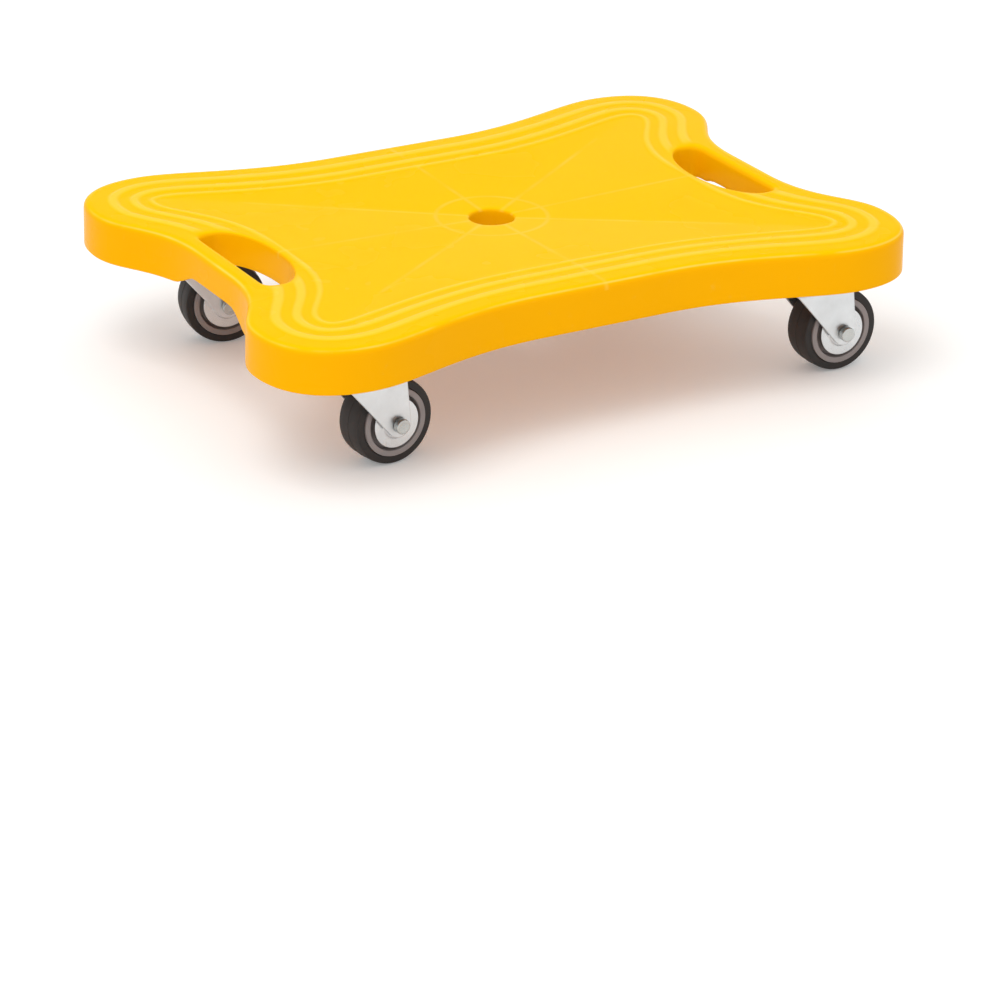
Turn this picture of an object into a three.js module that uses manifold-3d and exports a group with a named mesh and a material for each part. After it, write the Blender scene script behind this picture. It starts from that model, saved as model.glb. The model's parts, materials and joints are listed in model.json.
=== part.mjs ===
// A scooter board: a moulded plastic deck with two hand slots and a rope hole, carried by
// four swivel casters. Millimetres, +X along the board, +Z up, the floor at z = 0.

import * as THREE from "three";
import { mergeVertices } from "three/addons/utils/BufferGeometryUtils.js";
import Module from "manifold-3d";

const wasm = await Module();
wasm.setup();

// Plan of the deck: two concave long sides, two concave handle sides, four round lobes
const deckLength = 410;
const deckWidth = 302;
const handleRecess = 25.2;
const waistRecess = 22.7;
const lobeEndInset = 49;
const lobeSideInset = 48;
const longFlat = 80;
const longSwing = 57;
const longReturn = 28;
const lobeRoundX = 34;
const lobeRoundY = 27;
const handleReturn = 30;
const handleSwing = 50;
const handleFlat = 40;

// Section of the deck
const deckDepth = 25.8;
const skirtWall = 3.2;
const skirtDraft = 0.3;
const topWall = 3.4;
const rimRadius = 4;
const dishDepth = 3.6;

// Three raised bands that follow the edge, from the outside in
const outerBandInset = 17;
const outerBandWidth = 7;
const middleBandInset = 29;
const middleBandWidth = 6.5;
const innerBandInset = 39;
const innerBandWidth = 4.5;
const bandHeight = 0.8;
const slotSideBulge = 6;

// Hand slots, the wells under them and the finger arch under each handle bar
const handleBar = 12.5;
const slotWidth = 29.3;
const slotLength = 89;
const slotEndInset = 9.8;
const slotCornerX = 8;
const slotCornerY = 8;
const slotBowX = 8;
const slotBowY = 30;
const slotRim = 2.6;
const wellWall = 2.8;
const wellRise = 5.8;
const archRise = 8.3;
const archTopLength = 52;
const archFootLength = 84;

// Rope hole in the middle and its tube
const ropeHoleDiameter = 26;
const ropeHoleRim = 1.8;
const hubWall = 2.8;
const hubDepth = 17;

// Ribs under the top
const ribThickness = 2.4;
const ribDepth = 15;
const hubRingRadius = 32.5;
const innerWebShare = 0.53;
const outerWebShare = 0.78;

// Casters: kingpins in from the ends and sides of the lobes, and the turns they stand at
const casterEndInset = 58.3;
const casterSideInset = 46.8;
const casterHeight = 64.5;
const frontLeftTurn = 5.8;
const backLeftTurn = -9.4;

// Pads under the lobes that the mounting plates seat on
const padMargin = 1.2;
const padWall = 2.8;
const pilotDepth = 13;

// Mounting plate and its screws
const plateLength = 56;
const plateWidth = 46;
const plateThickness = 2;
const plateCorner = 6;
const screwInset = 6.5;
const screwDiameter = 4;
const screwHeadDiameter = 8;
const screwHeadHeight = 2.4;
const screwLength = 12;

// Swivel head
const raceDiameter = 37;
const raceBore = 24;
const raceHeight = 5.6;
const crownDiameter = 39;
const kingpinDiameter = 9;
const kingpinHeadDiameter = 15;
const kingpinHeadHeight = 2.2;

// Fork: a strip bent to a U, its legs swept back to the axle
const forkGap = 24.8;
const forkSheet = 1.9;
const forkBend = 3.5;
const axleTrail = 22.2;
const forkEndRadius = 7.6;
const forkLeadTop = 8;
const forkFlare = 3;
const forkTailTop = 26.6;
const flareShares = [0.1, 0.36];

// Wheel, axle and thread guards
const wheelDiameter = 50;
const tyreWidth = 18.6;
const tyreTread = 12.4;
const tyreShoulder = 1.9;
const hubDiameter = 39.4;
const hubWidth = 20.4;
const hubRimWidth = 3.2;
const hubWeb = 11;
const hubBossDiameter = 17;
const axleDiameter = 6;
const axleHeadDiameter = 8.7;
const axleHeadHeight = 3.5;
const axleHeadChamfer = 0.5;
const bushDiameter = 10;
const guardDiameter = 28.6;
const guardBossDiameter = 18;
const guardSheet = 0.8;
const guardStep = 0.9;

// Gap left between pieces that touch, and the overrun of cuts
const seatGap = 0.3;
const overrun = 1;

// How finely curves are divided
const sideSteps = 4;
const lobeSteps = 6;
const rimSteps = 3;
const lipSteps = 2;
const slotSteps = 4;
const wheelSteps = 24;
const discSteps = 16;
const pinSteps = 8;
const bendSteps = 3;

// Places worked out from the sizes above
const handleX = deckLength / 2 - handleRecess;
const waistHalf = deckWidth / 2 - waistRecess;
const deckTop = casterHeight + deckDepth;
const skirtFoot = casterHeight;
const axleZ = wheelDiameter / 2;
const plateFoot = casterHeight - plateThickness;
const raceFoot = plateFoot - seatGap - raceHeight;
const crownTop = raceFoot - seatGap;
const crownFoot = crownTop - forkSheet;

// Materials
const deckPlastic = new THREE.MeshStandardMaterial({ color: 0xfecb0f, roughness: 0.38, metalness: 0 });
const zincSteel = new THREE.MeshStandardMaterial({ color: 0xd3d6d8, roughness: 0.34, metalness: 0.9 });
const hubPlastic = new THREE.MeshStandardMaterial({ color: 0x8f8b8a, roughness: 0.5, metalness: 0 });
const tyreRubber = new THREE.MeshStandardMaterial({ color: 0x2b2a2b, roughness: 0.6, metalness: 0 });

// A closed geometry as a solid, and a solid as a geometry
function solidOf(geometry) {
  const bare = geometry.clone();
  bare.deleteAttribute("normal");
  bare.deleteAttribute("uv");
  const welded = mergeVertices(bare.index ? bare.toNonIndexed() : bare, seatGap / 1000);
  const vertProperties = new Float32Array(welded.attributes.position.array);
  const triVerts = new Uint32Array(welded.index.array);
  return new wasm.Manifold(new wasm.Mesh({ numProp: 3, vertProperties, triVerts }));
}

function geometryOf(solid) {
  const mesh = solid.getMesh();
  const geometry = new THREE.BufferGeometry();
  geometry.setAttribute("position", new THREE.BufferAttribute(new Float32Array(mesh.vertProperties), 3));
  geometry.setIndex(new THREE.BufferAttribute(new Uint32Array(mesh.triVerts), 1));
  geometry.computeVertexNormals();
  return geometry;
}

function joined(solids) {
  return solids.reduce((whole, piece) => whole.add(piece));
}

// A closed skin over rings of equal count, lowest first, each closed by a fan to its middle
function loft(rings, footMiddle, topMiddle) {
  const count = rings[0].length;
  const positions = [];
  for (const ring of rings) for (const point of ring) positions.push(point.x, point.y, point.z);
  positions.push(footMiddle.x, footMiddle.y, footMiddle.z);
  positions.push(topMiddle.x, topMiddle.y, topMiddle.z);
  const foot = rings.length * count;
  const top = foot + 1;
  const last = foot - count;
  const index = [];
  for (let i = 0; i < count; i += 1) {
    const next = (i + 1) % count;
    index.push(foot, next, i);
    index.push(top, last + i, last + next);
    for (let row = 0; row < last; row += count) {
      index.push(row + i, row + next, row + count + next);
      index.push(row + i, row + count + next, row + count + i);
    }
  }
  const geometry = new THREE.BufferGeometry();
  geometry.setAttribute("position", new THREE.Float32BufferAttribute(positions, 3));
  geometry.setIndex(index);
  return geometry;
}

// A prism over a flat outline, from one height to another
function prism(outline, foot, top) {
  const shape = new THREE.Shape(outline);
  const geometry = new THREE.ExtrudeGeometry(shape, { depth: top - foot, bevelEnabled: false });
  geometry.translate(0, 0, foot);
  return geometry;
}

// A solid of revolution about Z from pairs of radius and height
function turned(pairs, steps) {
  const profile = pairs.map(([radius, height]) => new THREE.Vector2(radius, height));
  const geometry = new THREE.LatheGeometry(profile, steps);
  geometry.rotateX(Math.PI / 2);
  return geometry;
}

function rod(radius, foot, top, steps) {
  const geometry = turned([[0, foot], [radius, foot], [radius, top], [0, top]], steps);
  return geometry;
}

// One quarter of an outline in straight and Bezier stretches, mirrored to all four quarters
function fourQuarters(stretches) {
  const quarter = [];
  for (const [curve, steps] of stretches) {
    const points = curve.getPoints(steps);
    quarter.push(...(quarter.length ? points.slice(1) : points));
  }
  const inner = quarter.slice(1, -1);
  const flip = (points, sx, sy) => points.map((p) => new THREE.Vector2(p.x * sx, p.y * sy));
  return [
    ...flip(quarter, 1, 1),
    ...flip(inner, -1, 1).reverse(),
    ...flip(quarter, -1, -1),
    ...flip(inner, 1, -1).reverse(),
  ];
}

// The deck's outline drawn in by an inset. The lobes shrink about their own middles, so the
// lines stay parallel to the edge, and the handle side gives the slot more room.
function deckOutline(inset) {
  const lobeX = deckLength / 2 - lobeEndInset;
  const lobeY = deckWidth / 2 - lobeSideInset;
  const lobeShare = 1 - inset / lobeEndInset;
  const returnShare = (1 + lobeShare) / 2;
  const endX = deckLength / 2 - inset;
  const endY = deckWidth / 2 - inset;
  const waistX = handleX - inset - slotSideBulge * (inset / innerBandInset);
  const waistY = waistHalf - inset;
  const handleEnd = new THREE.Vector2(waistX, handleFlat / 2);
  const lobeEnd = new THREE.Vector2(endX, lobeY);
  const lobeCrown = new THREE.Vector2(lobeX, endY);
  const sideEnd = new THREE.Vector2(longFlat / 2, waistY);
  const handleMiddle = new THREE.Vector2(waistX, 0);
  const sideMiddle = new THREE.Vector2(0, waistY);
  const handleCurve = new THREE.CubicBezierCurve(
    handleEnd,
    new THREE.Vector2(waistX, handleEnd.y + handleSwing),
    new THREE.Vector2(endX, lobeY - handleReturn * returnShare),
    lobeEnd,
  );
  const lobeCurve = new THREE.CubicBezierCurve(
    lobeEnd,
    new THREE.Vector2(endX, lobeY + lobeRoundY * lobeShare),
    new THREE.Vector2(lobeX + lobeRoundX * lobeShare, endY),
    lobeCrown,
  );
  const sideCurve = new THREE.CubicBezierCurve(
    lobeCrown,
    new THREE.Vector2(lobeX - longReturn * returnShare, endY),
    new THREE.Vector2(sideEnd.x + longSwing, waistY),
    sideEnd,
  );
  return fourQuarters([
    [new THREE.LineCurve(handleMiddle, handleEnd), 1],
    [handleCurve, sideSteps],
    [lobeCurve, lobeSteps],
    [sideCurve, sideSteps],
    [new THREE.LineCurve(sideEnd, sideMiddle), 1],
  ]);
}

// Corners of the shallow dish, under the outer band: the middles of the sides and the lobes
const dishOutline = deckOutline(outerBandInset);
const dishEndX = dishOutline[0].x;
const dishLobe = dishOutline[1 + sideSteps + lobeSteps / 2];
const dishEndY = dishOutline[dishOutline.length / 4].y;

// Eight flat facets fall from the border to the middle, with a crease at every corner
function dishDrop(x, y) {
  const ax = Math.abs(x);
  const ay = Math.abs(y);
  const underDiagonal = ay * dishLobe.x < ax * dishLobe.y;
  const lobePart = underDiagonal ? ay / dishLobe.y : ax / dishLobe.x;
  const sidePart = underDiagonal
    ? (ax - lobePart * dishLobe.x) / dishEndX
    : (ay - lobePart * dishLobe.y) / dishEndY;
  return dishDepth * Math.max(0, 1 - lobePart - sidePart);
}

// A ring of the top skin: inset from the edge and raised or lowered from the dished top
function topRing(inset, rise) {
  return deckOutline(inset).map(
    (p) => new THREE.Vector3(p.x, p.y, deckTop - dishDrop(p.x, p.y) + rise),
  );
}

function flatRing(inset, height) {
  return deckOutline(inset).map((p) => new THREE.Vector3(p.x, p.y, height));
}

// The block inside a given wall, with the dish let into its top from below
function deckBlock(sideInset, footHeight, wall) {
  const top = deckTop - wall;
  const rings = [flatRing(sideInset, footHeight), flatRing(sideInset + skirtDraft, top)];
  const foot = new THREE.Vector3(0, 0, footHeight);
  const block = solidOf(loft(rings, foot, new THREE.Vector3(0, 0, top)));
  const brim = (height) => dishCorners.map((p) => new THREE.Vector3(p.x, p.y, height));
  const bowlFoot = new THREE.Vector3(0, 0, top - dishDepth);
  const bowl = loft([brim(top), brim(top + overrun)], bowlFoot, new THREE.Vector3(0, 0, top + overrun));
  return block.subtract(solidOf(bowl));
}

function outerSkin() {
  const rings = [flatRing(0, skirtFoot)];
  for (let i = 0; i <= rimSteps; i += 1) {
    const angle = (i / rimSteps) * (Math.PI / 2);
    const inset = skirtDraft + rimRadius * (1 - Math.cos(angle));
    rings.push(flatRing(inset, deckTop - rimRadius * (1 - Math.sin(angle))));
  }
  const bands = [
    [outerBandInset, outerBandWidth],
    [middleBandInset, middleBandWidth],
    [innerBandInset, innerBandWidth],
  ];
  for (const [inset, width] of bands) {
    rings.push(topRing(inset - width / 2, 0));
    rings.push(topRing(inset, bandHeight));
    rings.push(topRing(inset + width / 2, 0));
  }
  const foot = new THREE.Vector3(0, 0, skirtFoot);
  const top = new THREE.Vector3(0, 0, deckTop - dishDepth);
  return solidOf(loft(rings, foot, top));
}

// A hand slot: straight beside the bar, bowed towards the middle of the board
const slotOuterX = handleX - handleBar;
const slotInnerX = slotOuterX - slotWidth;

function slotOutline(side, grow) {
  const endX = slotOuterX - slotEndInset;
  const half = slotLength / 2 + grow;
  const outerX = slotOuterX + grow;
  const innerX = slotInnerX - grow;
  const corner = new THREE.CubicBezierCurve(
    new THREE.Vector2(outerX, half - slotEndInset),
    new THREE.Vector2(outerX, half - slotEndInset + slotCornerY),
    new THREE.Vector2(endX + slotCornerX, half),
    new THREE.Vector2(endX, half),
  );
  const bow = new THREE.CubicBezierCurve(
    new THREE.Vector2(endX, half),
    new THREE.Vector2(endX - slotBowX, half),
    new THREE.Vector2(innerX, slotBowY),
    new THREE.Vector2(innerX, 0),
  );
  const upper = [...corner.getPoints(slotSteps), ...bow.getPoints(slotSteps + 1).slice(1)];
  const lower = upper.slice(0, -1).reverse().map((p) => new THREE.Vector2(p.x, -p.y));
  const outline = [...upper, ...lower];
  return side > 0 ? outline : outline.map((p) => new THREE.Vector2(-p.x, p.y)).reverse();
}

function slotRing(side, grow, height) {
  return slotOutline(side, grow).map((p) => new THREE.Vector3(p.x, p.y, height));
}

function slotCut(side) {
  const rings = [slotRing(side, 0, skirtFoot - overrun)];
  for (let i = 0; i <= lipSteps; i += 1) {
    const angle = (i / lipSteps) * (Math.PI / 2);
    const grow = slotRim * (1 - Math.cos(angle));
    rings.push(slotRing(side, grow, deckTop - slotRim * (1 - Math.sin(angle))));
  }
  rings.push(slotRing(side, slotRim, deckTop + overrun + bandHeight));
  const middleX = side * (slotOuterX + slotInnerX) / 2;
  const foot = new THREE.Vector3(middleX, 0, skirtFoot - overrun);
  const top = new THREE.Vector3(middleX, 0, deckTop + overrun + bandHeight);
  return solidOf(loft(rings, foot, top));
}

// The arch cut into the skirt under a handle bar, so that fingers close round it
function archCut(side) {
  const foot = skirtFoot - overrun;
  const slope = (archFootLength - archTopLength) / 2 / archRise;
  const footHalf = archFootLength / 2 + slope * overrun;
  const outline = [
    new THREE.Vector2(-footHalf, foot),
    new THREE.Vector2(footHalf, foot),
    new THREE.Vector2(archTopLength / 2, skirtFoot + archRise),
    new THREE.Vector2(-archTopLength / 2, skirtFoot + archRise),
  ];
  const inside = slotOuterX - slotEndInset;
  const depth = deckLength / 2 - inside + overrun;
  const geometry = new THREE.ExtrudeGeometry(new THREE.Shape(outline), { depth, bevelEnabled: false });
  geometry.rotateX(Math.PI / 2);
  geometry.rotateZ(Math.PI / 2);
  geometry.translate(side > 0 ? inside : -inside - depth, 0, 0);
  return solidOf(geometry);
}

// Ribs: spokes to the corners of the dish and half way between, and rings across them
function spoke(from, to) {
  const run = new THREE.Vector2().subVectors(to, from);
  const geometry = new THREE.BoxGeometry(run.length(), ribThickness, ribDepth);
  geometry.translate(run.length() / 2, 0, deckTop - ribDepth / 2);
  geometry.rotateZ(run.angle());
  geometry.translate(from.x, from.y, 0);
  return solidOf(geometry);
}

const dishCorners = [
  new THREE.Vector2(dishEndX, 0),
  dishLobe,
  new THREE.Vector2(0, dishEndY),
  new THREE.Vector2(-dishLobe.x, dishLobe.y),
  new THREE.Vector2(-dishEndX, 0),
  new THREE.Vector2(-dishLobe.x, -dishLobe.y),
  new THREE.Vector2(0, -dishEndY),
  new THREE.Vector2(dishLobe.x, -dishLobe.y),
];

function webRing(share) {
  const band = (shift) => dishCorners.map((corner) => {
    const length = corner.length() * share + shift;
    return corner.clone().setLength(length);
  });
  const foot = deckTop - ribDepth;
  const outer = solidOf(prism(band(ribThickness / 2), foot, deckTop));
  return outer.subtract(solidOf(prism(band(-ribThickness / 2), foot - overrun, deckTop + overrun)));
}

function hubRing() {
  const foot = deckTop - ribDepth;
  const outer = solidOf(rod(hubRingRadius + ribThickness / 2, foot, deckTop, discSteps));
  const inner = rod(hubRingRadius - ribThickness / 2, foot - overrun, deckTop + overrun, discSteps);
  return outer.subtract(solidOf(inner));
}

function ribs() {
  const pieces = [hubRing(), webRing(innerWebShare), webRing(outerWebShare)];
  const middle = new THREE.Vector2(0, 0);
  const reach = deckWidth / 2 / dishEndY;
  dishCorners.forEach((corner, i) => {
    const next = dishCorners[(i + 1) % dishCorners.length];
    const between = new THREE.Vector2().addVectors(corner, next).multiplyScalar(1 / 2);
    const start = between.clone().setLength(hubRingRadius);
    pieces.push(spoke(middle, corner.clone().multiplyScalar(reach)));
    pieces.push(spoke(start, between.multiplyScalar(reach)));
  });
  return joined(pieces);
}

// Places of the casters, each with its pad turned along the line to the board's middle
const casterX = deckLength / 2 - casterEndInset;
const casterY = deckWidth / 2 - casterSideInset;
const casters = [
  { name: "front_left", x: -casterX, y: -casterY, turn: frontLeftTurn },
  { name: "front_right", x: casterX, y: -casterY, turn: 0 },
  { name: "back_left", x: -casterX, y: casterY, turn: backLeftTurn },
  { name: "back_right", x: casterX, y: casterY, turn: 0 },
];

function screwPlaces() {
  const halfLong = plateLength / 2 - screwInset;
  const halfShort = plateWidth / 2 - screwInset;
  return [
    new THREE.Vector2(halfLong, halfShort),
    new THREE.Vector2(-halfLong, halfShort),
    new THREE.Vector2(-halfLong, -halfShort),
    new THREE.Vector2(halfLong, -halfShort),
  ];
}

function rectangle(length, width, corner) {
  const x = length / 2;
  const y = width / 2;
  const shape = new THREE.Shape();
  shape.moveTo(x, corner - y);
  shape.lineTo(x, y - corner);
  shape.absarc(x - corner, y - corner, corner, 0, Math.PI / 2);
  shape.absarc(corner - x, y - corner, corner, Math.PI / 2, Math.PI);
  shape.absarc(corner - x, corner - y, corner, Math.PI, (Math.PI * 3) / 2);
  shape.absarc(x - corner, corner - y, corner, (Math.PI * 3) / 2, Math.PI * 2);
  return shape.getPoints(bendSteps / 2);
}

// A pad: a wall round the plate's edge and four screw bosses, open below
function pad(caster) {
  const length = plateLength + padMargin * 2;
  const width = plateWidth + padMargin * 2;
  const outline = rectangle(length, width, plateCorner);
  const hollow = rectangle(length - padWall * 2, width - padWall * 2, plateCorner - padWall);
  const wall = solidOf(prism(outline, skirtFoot, deckTop));
  let body = wall.subtract(solidOf(prism(hollow, skirtFoot - overrun, deckTop + overrun)));
  const bossRadius = padMargin + screwInset - padWall / 2;
  for (const place of screwPlaces()) {
    const boss = rod(bossRadius, skirtFoot, deckTop, pinSteps);
    boss.translate(place.x, place.y, 0);
    body = body.add(solidOf(boss));
  }
  return body.rotate([0, 0, padAngle(caster)]).translate([caster.x, caster.y, 0]);
}

function padAngle(caster) {
  return THREE.MathUtils.radToDeg(Math.atan2(caster.y, caster.x));
}

function pilotHoles(caster) {
  const holes = screwPlaces().map((place) => {
    const hole = rod(screwDiameter / 2 + seatGap, skirtFoot - overrun, skirtFoot + pilotDepth, pinSteps);
    hole.translate(place.x, place.y, 0);
    return solidOf(hole);
  });
  return joined(holes).rotate([0, 0, padAngle(caster)]).translate([caster.x, caster.y, 0]);
}

function ropeHoleCut() {
  const radius = ropeHoleDiameter / 2;
  const brim = deckTop - dishDrop(0, radius + ropeHoleRim);
  const pairs = [[0, skirtFoot - overrun], [radius, skirtFoot - overrun]];
  for (let i = 0; i <= lipSteps; i += 1) {
    const angle = (i / lipSteps) * (Math.PI / 2);
    const height = brim - ropeHoleRim * (1 - Math.sin(angle));
    pairs.push([radius + ropeHoleRim * (1 - Math.cos(angle)), height]);
  }
  pairs.push([radius + ropeHoleRim, deckTop + overrun], [0, deckTop + overrun]);
  return solidOf(turned(pairs, wheelSteps));
}

function deck() {
  const hollow = deckBlock(skirtWall, skirtFoot - overrun, topWall);
  const midWall = deckBlock(skirtWall / 2, skirtFoot, topWall / 2);
  const hubTube = rod(ropeHoleDiameter / 2 + hubWall, deckTop - hubDepth, deckTop, discSteps);
  const inside = [ribs(), solidOf(hubTube)];
  for (const side of [-1, 1]) {
    inside.push(solidOf(prism(slotOutline(side, wellWall), skirtFoot + wellRise, deckTop)));
  }
  let inner = joined(inside);
  for (const caster of casters) {
    const padHollow = prism(
      rectangle(plateLength - padWall * 2, plateWidth - padWall * 2, plateCorner - padWall),
      skirtFoot,
      deckTop,
    );
    const room = solidOf(padHollow).rotate([0, 0, padAngle(caster)]).translate([caster.x, caster.y, 0]);
    inner = inner.subtract(room).add(pad(caster));
  }
  let body = outerSkin().subtract(hollow).add(inner.intersect(midWall));
  body = body.subtract(ropeHoleCut());
  for (const side of [-1, 1]) body = body.subtract(slotCut(side)).subtract(archCut(side));
  for (const caster of casters) body = body.subtract(pilotHoles(caster));
  return body;
}

// Mounting plate: rounded sheet with a kingpin hole and four screw holes
function mountingPlate() {
  const outline = rectangle(plateLength, plateWidth, plateCorner);
  let plate = solidOf(prism(outline, plateFoot, casterHeight));
  const bore = kingpinDiameter / 2 + seatGap;
  plate = plate.subtract(solidOf(rod(bore, plateFoot - overrun, casterHeight + overrun, pinSteps)));
  for (const place of screwPlaces()) {
    const hole = rod(screwDiameter / 2 + seatGap, plateFoot - overrun, casterHeight + overrun, pinSteps);
    hole.translate(place.x, place.y, 0);
    plate = plate.subtract(solidOf(hole));
  }
  return geometryOf(plate);
}

// Pan-head screw driven up through the plate into its boss
function plateScrew(place) {
  const headTop = plateFoot - seatGap;
  const headFoot = headTop - screwHeadHeight;
  const geometry = turned([
    [0, headFoot],
    [screwHeadDiameter / 2, headFoot],
    [screwHeadDiameter / 2, headTop],
    [screwDiameter / 2, headTop],
    [screwDiameter / 2, headTop + screwLength],
    [0, headTop + screwLength],
  ], pinSteps);
  geometry.translate(place.x, place.y, 0);
  return geometry;
}

// Pressed race that holds the balls between the plate and the fork's crown
function swivelRace() {
  const outer = raceDiameter / 2;
  const inner = raceBore / 2;
  const top = raceFoot + raceHeight;
  const lip = raceHeight / 2;
  return turned([
    [inner, raceFoot + lip],
    [inner + lip, raceFoot],
    [outer - lip / 2, raceFoot],
    [outer, raceFoot + lip],
    [outer - lip / 2, top],
    [inner, top],
    [inner, raceFoot + lip],
  ], discSteps);
}

// Kingpin: a rivet through plate, race and crown, with a head above and below
function kingpin() {
  const shank = kingpinDiameter / 2;
  const head = kingpinHeadDiameter / 2;
  const lowTop = crownFoot - seatGap;
  const highFoot = casterHeight + seatGap;
  return turned([
    [0, lowTop - kingpinHeadHeight],
    [head - kingpinHeadHeight / 2, lowTop - kingpinHeadHeight],
    [head, lowTop],
    [shank, lowTop],
    [shank, highFoot],
    [head - kingpinHeadHeight / 2, highFoot],
    [shank, highFoot + kingpinHeadHeight],
    [0, highFoot + kingpinHeadHeight],
  ], pinSteps);
}

// Fork: the bent strip cut to its side view, under a round crown
function forkStrip() {
  const outerY = forkGap / 2 + forkSheet;
  const innerY = forkGap / 2;
  const outerBend = forkBend + forkSheet;
  const foot = axleZ - forkEndRadius - overrun;
  const half = [new THREE.Vector2(outerY, foot)];
  for (let i = 0; i <= bendSteps; i += 1) {
    const angle = (i / bendSteps) * (Math.PI / 2);
    const y = outerY - outerBend * (1 - Math.cos(angle));
    half.push(new THREE.Vector2(y, crownTop - outerBend * (1 - Math.sin(angle))));
  }
  const hollow = [new THREE.Vector2(innerY, foot)];
  for (let i = 0; i <= bendSteps; i += 1) {
    const angle = (i / bendSteps) * (Math.PI / 2);
    const y = innerY - forkBend * (1 - Math.cos(angle));
    hollow.push(new THREE.Vector2(y, crownFoot - forkBend * (1 - Math.sin(angle))));
  }
  const mirrored = (points) => points.map((p) => new THREE.Vector2(-p.x, p.y)).reverse();
  const outline = [...half, ...mirrored(half), ...mirrored(hollow).reverse(), ...hollow.reverse()];
  const front = forkLeadTop + forkFlare + overrun;
  const length = front + axleTrail + forkEndRadius + overrun;
  const shape = new THREE.Shape(outline);
  const geometry = new THREE.ExtrudeGeometry(shape, { depth: length, bevelEnabled: false });
  geometry.rotateX(Math.PI / 2);
  geometry.rotateZ(Math.PI / 2);
  geometry.translate(-front, 0, 0);
  return solidOf(geometry);
}

// Side view of the legs: slanted in front, nearly upright behind, round at the axle
function forkSideView() {
  const lead = new THREE.Vector2(-forkLeadTop, crownFoot - forkBend);
  const end = new THREE.Vector2(axleTrail, axleZ);
  const reach = end.distanceTo(lead);
  const toLead = Math.atan2(lead.y - end.y, lead.x - end.x);
  const leadTangent = toLead + Math.acos(forkEndRadius / reach);
  const tangentPoint = new THREE.Vector2(
    end.x + forkEndRadius * Math.cos(leadTangent),
    end.y + forkEndRadius * Math.sin(leadTangent),
  );
  const [flareTurn, flareEnd] = flareShares.map((share) => lead.clone().lerp(tangentPoint, share));
  const flareTop = new THREE.Vector2(lead.x - forkFlare, lead.y);
  const points = [
    new THREE.Vector2(forkTailTop, crownTop + overrun),
    new THREE.Vector2(flareTop.x, crownTop + overrun),
    ...new THREE.QuadraticBezierCurve(flareTop, flareTurn, flareEnd).getPoints(bendSteps),
  ];
  const arcSteps = bendSteps * 2;
  for (let i = 0; i <= arcSteps; i += 1) {
    const angle = leadTangent + (i / arcSteps) * (Math.PI * 2 - leadTangent);
    const x = end.x + forkEndRadius * Math.cos(angle);
    points.push(new THREE.Vector2(x, end.y + forkEndRadius * Math.sin(angle)));
  }
  const width = forkGap + forkSheet * 2 + overrun * 2;
  const shape = new THREE.Shape(points);
  const geometry = new THREE.ExtrudeGeometry(shape, { depth: width, bevelEnabled: false });
  geometry.translate(0, 0, -width / 2);
  geometry.rotateX(Math.PI / 2);
  return solidOf(geometry);
}

function fork() {
  const width = forkGap + forkSheet * 2;
  const slab = new THREE.BoxGeometry(crownDiameter, width - forkBend, forkSheet);
  slab.translate(0, 0, crownTop - forkSheet / 2);
  const disc = solidOf(rod(crownDiameter / 2, crownFoot, crownTop, discSteps));
  const crown = disc.intersect(solidOf(slab));
  const bore = rod(kingpinDiameter / 2 + seatGap, crownFoot - overrun, crownTop + overrun, discSteps);
  const axleHole = rod(axleDiameter / 2 + seatGap, -forkGap, forkGap, pinSteps);
  axleHole.rotateX(Math.PI / 2);
  axleHole.translate(axleTrail, 0, axleZ);
  const legs = forkStrip().intersect(forkSideView());
  return geometryOf(legs.add(crown).subtract(solidOf(bore)).subtract(solidOf(axleHole)));
}

// Wheel parts turn about the axle: made about Z, then laid along Y at the axle
function onAxle(geometry) {
  geometry.rotateX(Math.PI / 2);
  geometry.translate(axleTrail, 0, axleZ);
  return geometry;
}

function tyre() {
  const outer = wheelDiameter / 2;
  const inner = hubDiameter / 2 + seatGap;
  const half = tyreWidth / 2;
  const tread = tyreTread / 2;
  const wall = outer - tyreShoulder;
  const middle = (half + tread) / 2;
  return onAxle(turned([
    [inner, -half],
    [wall, -half],
    [outer - tyreShoulder / 3, -middle],
    [outer, -tread],
    [outer, tread],
    [outer - tyreShoulder / 3, middle],
    [wall, half],
    [inner, half],
    [inner, -half],
  ], wheelSteps));
}

function wheelHub() {
  const outer = hubDiameter / 2;
  const rim = outer - hubRimWidth;
  const boss = hubBossDiameter / 2;
  const bore = bushDiameter / 2 + seatGap;
  const face = hubWidth / 2;
  const web = hubWeb / 2;
  const bossFace = guardFace - guardStep - guardSheet - seatGap;
  return onAxle(turned([
    [bore, -bossFace],
    [boss, -bossFace],
    [boss, -web],
    [rim, -web],
    [rim, -face],
    [outer, -face],
    [outer, face],
    [rim, face],
    [rim, web],
    [boss, web],
    [boss, bossFace],
    [bore, bossFace],
    [bore, -bossFace],
  ], discSteps));
}

// Thread guard: a zinc disc beside the hub, stepped out to the fork leg at its middle
const guardFace = forkGap / 2 - seatGap;

function threadGuard(side) {
  const outer = guardDiameter / 2;
  const boss = guardBossDiameter / 2;
  const bore = axleDiameter / 2 + seatGap;
  const step = guardFace - guardStep;
  const pairs = [
    [bore, step - guardSheet],
    [outer, step - guardSheet],
    [outer, step],
    [boss, step],
    [boss - guardSheet, guardFace],
    [bore, guardFace],
    [bore, step - guardSheet],
  ];
  const geometry = turned(pairs, discSteps);
  if (side < 0) geometry.rotateX(Math.PI);
  return onAxle(geometry);
}

function axleBush() {
  const outer = bushDiameter / 2;
  const bore = axleDiameter / 2 + seatGap;
  const half = guardFace - guardStep - guardSheet - seatGap;
  return onAxle(turned([[bore, -half], [outer, -half], [outer, half], [bore, half], [bore, -half]], pinSteps));
}

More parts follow.
